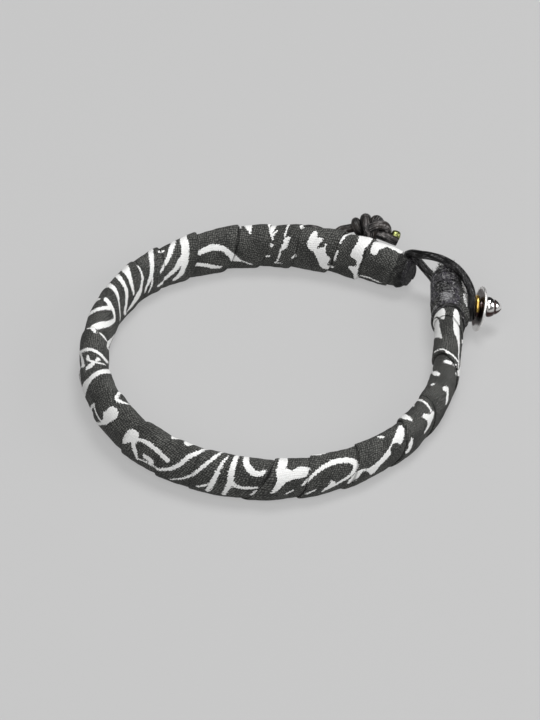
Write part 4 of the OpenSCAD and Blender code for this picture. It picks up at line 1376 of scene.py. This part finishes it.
# Distance along the stud's axis past which its underside and the ring's carry painted dark reflection
KNOB_FROM = 1.1
RING_FROM = -1.0
RING_PROFILE = (
    (-0.85, 0.95, 0.3), (-0.85, 1.8, 0), (-0.8, 1.93, 0), (-0.68, 2.03, 0), (-0.5, 2.07, 0),
    (-0.32, 2.03, 0), (-0.2, 1.93, 0), (-0.15, 1.8, 0), (-0.15, 0.95, 0.3),
)
BEAD_PROFILE = (
    (-0.8, 0.4, 0.8), (-0.8, 0.66, 0.3), (-0.7, 0.84, 0), (-0.4, 0.98, 0), (0, 1.02, 0), (0.4, 0.98, 0),
    (0.7, 0.84, 0), (0.8, 0.66, 0.3), (0.8, 0.4, 0.8),
)
# Share of the way from the thread's last point but one to its last, where the bead's middle is
BEAD_PLACE = 0.45


def revolved(profile, at, axis, across, dark_reflection_past=None):
    """A profile turned about an axis, with painted dark reflection on its underside past a distance along
    the axis if one is given
    """
    axis = np.array(axis) / np.linalg.norm(axis)
    across = np.array(across) - np.dot(across, axis) * axis
    across = across / np.linalg.norm(across)
    p = np.array(profile)
    angle = np.arange(REVOLVE_SIDES) * 2 * math.pi / REVOLVE_SIDES
    ring = np.cos(angle)[:, None] * across + np.sin(angle)[:, None] * np.cross(axis, across)
    radii = np.maximum(p[:, 1], LEAST_RADIUS)
    points = at + p[:, None, 0:1] * axis + radii[:, None, None] * ring
    patina = np.repeat(p[:, 2:3], REVOLVE_SIDES, axis=1)
    # Painted dark reflection on the underside past the given distance
    if dark_reflection_past is not None:
        below = np.clip((DOWN_FROM - ring[:, 2]) / DOWN_EASE, 0, 1)
        patina = np.maximum(patina, (p[:, 0:1] > dark_reflection_past) * UNDERSIDE_DARK_REFLECTION * below)
    faces = grid_faces(len(p), REVOLVE_SIDES, True).tolist()
    return points.reshape(-1, 3), faces, {"patina": patina.ravel()}


def disc_with_painted_reflection():
    """The disc of the stud, with painted reflection: lighter above and pale at its low edge"""
    points, faces, attributes = revolved(DISC_PROFILE, DISC_AT, DISC_AXIS, (0, 1, 0))
    # Painted reflection: the dark is taken off at the low edge and lessened above, as the camera sees the
    # disc
    height = np.dot(points - DISC_AT, SEEN_UP)
    patina = attributes["patina"] * np.clip((height - DISC_PALE_UNDER) / DISC_EASE, 0, 1)
    worn = 1 - DISC_TOP_LIGHTENING * np.clip((height - DISC_LIGHTER_OVER) / DISC_EASE, 0, 1)
    return points, faces, {"patina": np.where(patina > 0, patina * worn, patina)}


def build_metal(name, node, material, parts):
    piece = mesh_piece(name, material, parts)
    piece.data.set_sharp_from_angle(angle=SHARP_FOLD)
    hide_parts(node)


def build_stud(material):
    post = revolved(STUD_PROFILE, STUD_AT, STUD_AXIS, (0, 1, 0), dark_reflection_past=KNOB_FROM)
    build_metal("stud_metal", "stud", material, joined([post, disc_with_painted_reflection()]))


def build_ring(material):
    ring = revolved(RING_PROFILE, STUD_AT, STUD_AXIS, (0, 1, 0), dark_reflection_past=RING_FROM)
    build_metal("brass_ring_metal", "brass_ring", material, ring)


def build_bead(material):
    before, last = np.array(BEAD_THREAD_ROUTE[-2:])
    bead = revolved(BEAD_PROFILE, before + BEAD_PLACE * (last - before), last - before, (0, 0, 1))
    build_metal("bead_metal", "brass_bead", material, bead)


# Loose fibres of the cut cloth at end B

FIBRES = 240
FIBRE_SEED = 23
FIBRE_PLACES = 5
FIBRE_SIDES = 5
# Degrees back from the end face and round the section where the fibres stand, and the height of their roots
FIBRE_BACK = 1.5
FIBRE_SPREAD = (-110, 95)
FIBRE_ROOT = 0.25
FIBRE_THICKNESS = (0.08, 0.14)
FIBRE_LENGTH = (0.5, 1.3)
FIBRE_TIP = 0.1
# How much of a fibre's way is past the end face and how much is up, and how much it bends
FIBRE_AWAY = (0.3, 0.9)
FIBRE_UP = (-0.2, 0.7)
FIBRE_BEND = 0.35


def fibre(shape, rng, a, diameter):
    """One short bent fibre that stands off the cut cloth"""
    over = rng.uniform(*FIBRE_SPREAD)
    root = shape.surface(np.array([a]), np.array([over]), FIBRE_ROOT, taper(shape, a, BINDINGS[1]))[0]
    out = shape.outward(a)
    way = rng.uniform(*FIBRE_AWAY) * np.array([-out[1], out[0], 0])
    way[2] = rng.uniform(*FIBRE_UP)
    bend = rng.normal(size=3) * FIBRE_BEND
    reach = rng.uniform(*FIBRE_LENGTH)
    t = np.linspace(0, 1, FIBRE_PLACES)[:, None]
    line = root + reach * (t * way + t**2 * bend)
    return tube_mesh(line, diameter / 2, FIBRE_SIDES, (0.0, FIBRE_TIP))


def build_fibres(shape, material):
    rng = np.random.default_rng(FIBRE_SEED)
    fibres = []
    for _ in range(FIBRES):
        a = B_END - rng.uniform(0.0, FIBRE_BACK)
        fibres.append(fibre(shape, rng, a, rng.uniform(*FIBRE_THICKNESS)))
    mesh_piece("cut_cloth_fibres", material, joined(fibres))


# The stage, in metres

CAMERA_TARGET = Vector((-0.0040, 0.0035, 0.0))
SENSOR_WIDTH = 36.0
CLIP_START = 0.05
CLIP_END = 20.0
FLOOR_HALF = 3.0
FLOOR_DROP = 0.00001
WHITE = (1.0, 1.0, 1.0, 1.0)
# How far back the light from all round starts to fall and stops, and the share that is left there
SKY_FALL = (-0.1, 0.55)
SKY_LEFT = 0.12
# columns: name, place, width, setting that holds the power
LAMPS = (
    ("overhead", (0.2, 0.26, 1.05), 0.5, "key_light"),
    ("front", (-0.15, -1.0, 1.2), 1.7, "front_light"),
    ("side", (1.15, -0.15, 0.6), 0.8, "side_light"),
)


# Operators

class BRACELET_OT_stage(bpy.types.Operator):
    """Makes the camera, the floor and the light"""

    bl_idname = "bracelet.stage"
    bl_label = "Stage"

    def execute(self, context):
        settings = context.scene.bracelet_stage
        self.make_camera(context, settings)
        self.make_floor(context, settings)
        self.make_sky(context, settings)
        self.make_lamps(context, settings)
        context.scene.view_settings.view_transform = "Standard"
        return {"FINISHED"}

    def make_camera(self, context, settings):
        """The camera looks along +Y and down on the ring"""
        data = bpy.data.cameras.new("camera")
        data.lens = settings.lens
        data.sensor_width = SENSOR_WIDTH
        data.sensor_fit = "AUTO"
        data.clip_start = CLIP_START
        data.clip_end = CLIP_END
        camera = bpy.data.objects.new("camera", data)
        e = settings.camera_elevation
        camera.location = CAMERA_TARGET + settings.camera_distance * Vector((0, -math.cos(e), math.sin(e)))
        camera.rotation_euler = (math.pi / 2 - e, 0, 0)
        context.scene.collection.objects.link(camera)
        context.scene.camera = camera

    def make_floor(self, context, settings):
        """A floor that glows a little, so that its shadows stay faint"""
        m = Recipe("plain_floor")
        m.set(base_color=(*settings.floor_colour, 1.0), roughness=0.9, specular_ior_level=0.0)
        m.set(emission_color=WHITE, emission_strength=settings.floor_glow)
        mesh = bpy.data.meshes.new("floor")
        corners = [(x * FLOOR_HALF, y * FLOOR_HALF, 0) for x, y in ((-1, -1), (1, -1), (1, 1), (-1, 1))]
        mesh.from_pydata(corners, [], [(0, 1, 2, 3)])
        mesh.materials.append(m.material)
        floor = bpy.data.objects.new("floor", mesh)
        floor.location.z = -FLOOR_DROP
        context.scene.collection.objects.link(floor)

    def make_sky(self, context, settings):
        """Soft light from all round, less from the far side"""
        world = bpy.data.worlds.new("soft_studio")
        world.use_nodes = True
        nodes = world.node_tree.nodes
        links = world.node_tree.links
        way = nodes.new("ShaderNodeTexCoord")
        parts = nodes.new("ShaderNodeSeparateXYZ")
        fall = nodes.new("ShaderNodeMapRange")
        links.new(way.outputs["Generated"], parts.inputs[0])
        links.new(parts.outputs["Y"], fall.inputs["Value"])
        limits = (*SKY_FALL, settings.sky_light, settings.sky_light * SKY_LEFT)
        for key, value in zip(("From Min", "From Max", "To Min", "To Max"), limits):
            fall.inputs[key].default_value = value
        links.new(fall.outputs[0], nodes["Background"].inputs["Strength"])
        nodes["Background"].inputs["Color"].default_value = WHITE
        context.scene.world = world

    def make_lamps(self, context, settings):
        """Three large soft lamps, turned to the middle of the frame"""
        for name, place, width, power in LAMPS:
            data = bpy.data.lights.new(name, "AREA")
            data.shape = "DISK"
            data.size = width
            data.energy = getattr(settings, power)
            lamp = bpy.data.objects.new(name, data)
            lamp.location = place
            lamp.rotation_euler = (-lamp.location).to_track_quat("-Z", "Y").to_euler()
            context.scene.collection.objects.link(lamp)


class BRACELET_OT_loop_cord(bpy.types.Operator):
    """Makes the leather cord loop that goes over the stud"""

    bl_idname = "bracelet.loop_cord"
    bl_label = "Cord loop"

    def execute(self, context):
        cord = context.scene.bracelet_cord
        build_loop(cord, leather_material("black_leather", cord.leather_colour, shine=0.34))
        return {"FINISHED"}


class BRACELET_OT_cloth(bpy.types.Operator):
    """Makes the wound printed cloth"""

    bl_idname = "bracelet.cloth"
    bl_label = "Wound cloth"

    def execute(self, context):
        band = context.scene.bracelet_band
        build_cloth(BandShape(band), band)
        return {"FINISHED"}


class BRACELET_OT_bindings(bpy.types.Operator):
    """Makes the waxed thread over both ends and the cut cloth's fibres"""

    bl_idname = "bracelet.bindings"
    bl_label = "Bound ends"

    def execute(self, context):
        shape = BandShape(context.scene.bracelet_band)
        cord = context.scene.bracelet_cord
        material = waxed_material(context.scene.bracelet_band, cord)
        for binding in BINDINGS:
            build_binding(shape, binding, cord, material)
        build_fibres(shape, fibre_material())
        return {"FINISHED"}


class BRACELET_OT_thong(bpy.types.Operator):
    """Makes the leather thong lashed round the stud's end"""

    bl_idname = "bracelet.thong"
    bl_label = "Thong"

    def execute(self, context):
        cord = context.scene.bracelet_cord
        material = leather_material("thong_leather", cord.leather_colour, shine=0.5)
        build_thong(BandShape(context.scene.bracelet_band), cord, material)
        return {"FINISHED"}


class BRACELET_OT_tied_cord(bpy.types.Operator):
    """Makes the knotted cord behind end A, its thread and its bead"""

    bl_idname = "bracelet.tied_cord"
    bl_label = "Tied cord"

    def execute(self, context):
        cord = context.scene.bracelet_cord
        metal = context.scene.bracelet_metal
        pale = tuple(c * KNOT_PALE for c in cord.leather_colour)
        build_knot(cord, leather_material("knot_leather", pale, 0.36, brown=0.35, painted_shade_from=KNOT_SHADE_FROM))
        build_bead_thread(cord, leather_material("thread_leather", cord.leather_colour, shine=0.5))
        build_bead(metal_material("bead_brass", metal.bead_brass, 0.3, BEAD_TARNISH))
        return {"FINISHED"}


class BRACELET_OT_metal(bpy.types.Operator):
    """Makes the stud and its brass ring"""

    bl_idname = "bracelet.metal"
    bl_label = "Stud and ring"

    def execute(self, context):
        metal = context.scene.bracelet_metal
        build_stud(metal_material("silver_metal", metal.white_metal, 0.09, WHITE_METAL_TARNISH))
        build_ring(metal_material("yellow_brass", metal.brass, 0.3, BRASS_TARNISH))
        return {"FINISHED"}


class BRACELET_PT_pieces(bpy.types.Panel):
    """Lists the bracelet's pieces"""

    bl_idname = "BRACELET_PT_pieces"
    bl_label = "Bandana Bracelet"
    bl_space_type = "VIEW_3D"
    bl_region_type = "UI"
    bl_category = "Bracelet"

    def draw(self, context):
        column = self.layout.column(align=True)
        for operator in OPERATORS:
            column.operator(operator.bl_idname)


SETTINGS = (
    ("bracelet_band", BraceletBandSettings),
    ("bracelet_cord", BraceletCordSettings),
    ("bracelet_metal", BraceletMetalSettings),
    ("bracelet_stage", BraceletStageSettings),
)
OPERATORS = (
    BRACELET_OT_stage, BRACELET_OT_loop_cord, BRACELET_OT_cloth, BRACELET_OT_bindings,
    BRACELET_OT_thong, BRACELET_OT_tied_cord, BRACELET_OT_metal,
)


def register():
    for name, settings in SETTINGS:
        bpy.utils.register_class(settings)
        setattr(bpy.types.Scene, name, bpy.props.PointerProperty(type=settings))
    for operator in OPERATORS:
        bpy.utils.register_class(operator)
    bpy.utils.register_class(BRACELET_PT_pieces)


def unregister():
    bpy.utils.unregister_class(BRACELET_PT_pieces)
    for operator in reversed(OPERATORS):
        bpy.utils.unregister_class(operator)
    for name, settings in reversed(SETTINGS):
        delattr(bpy.types.Scene, name)
        bpy.utils.unregister_class(settings)


def main():
    register()
    bpy.ops.bracelet.stage()
    bpy.ops.bracelet.loop_cord()
    bpy.ops.bracelet.cloth()
    bpy.ops.bracelet.bindings()
    bpy.ops.bracelet.thong()
    bpy.ops.bracelet.tied_cord()
    bpy.ops.bracelet.metal()


if __name__ == "__main__":
    main()
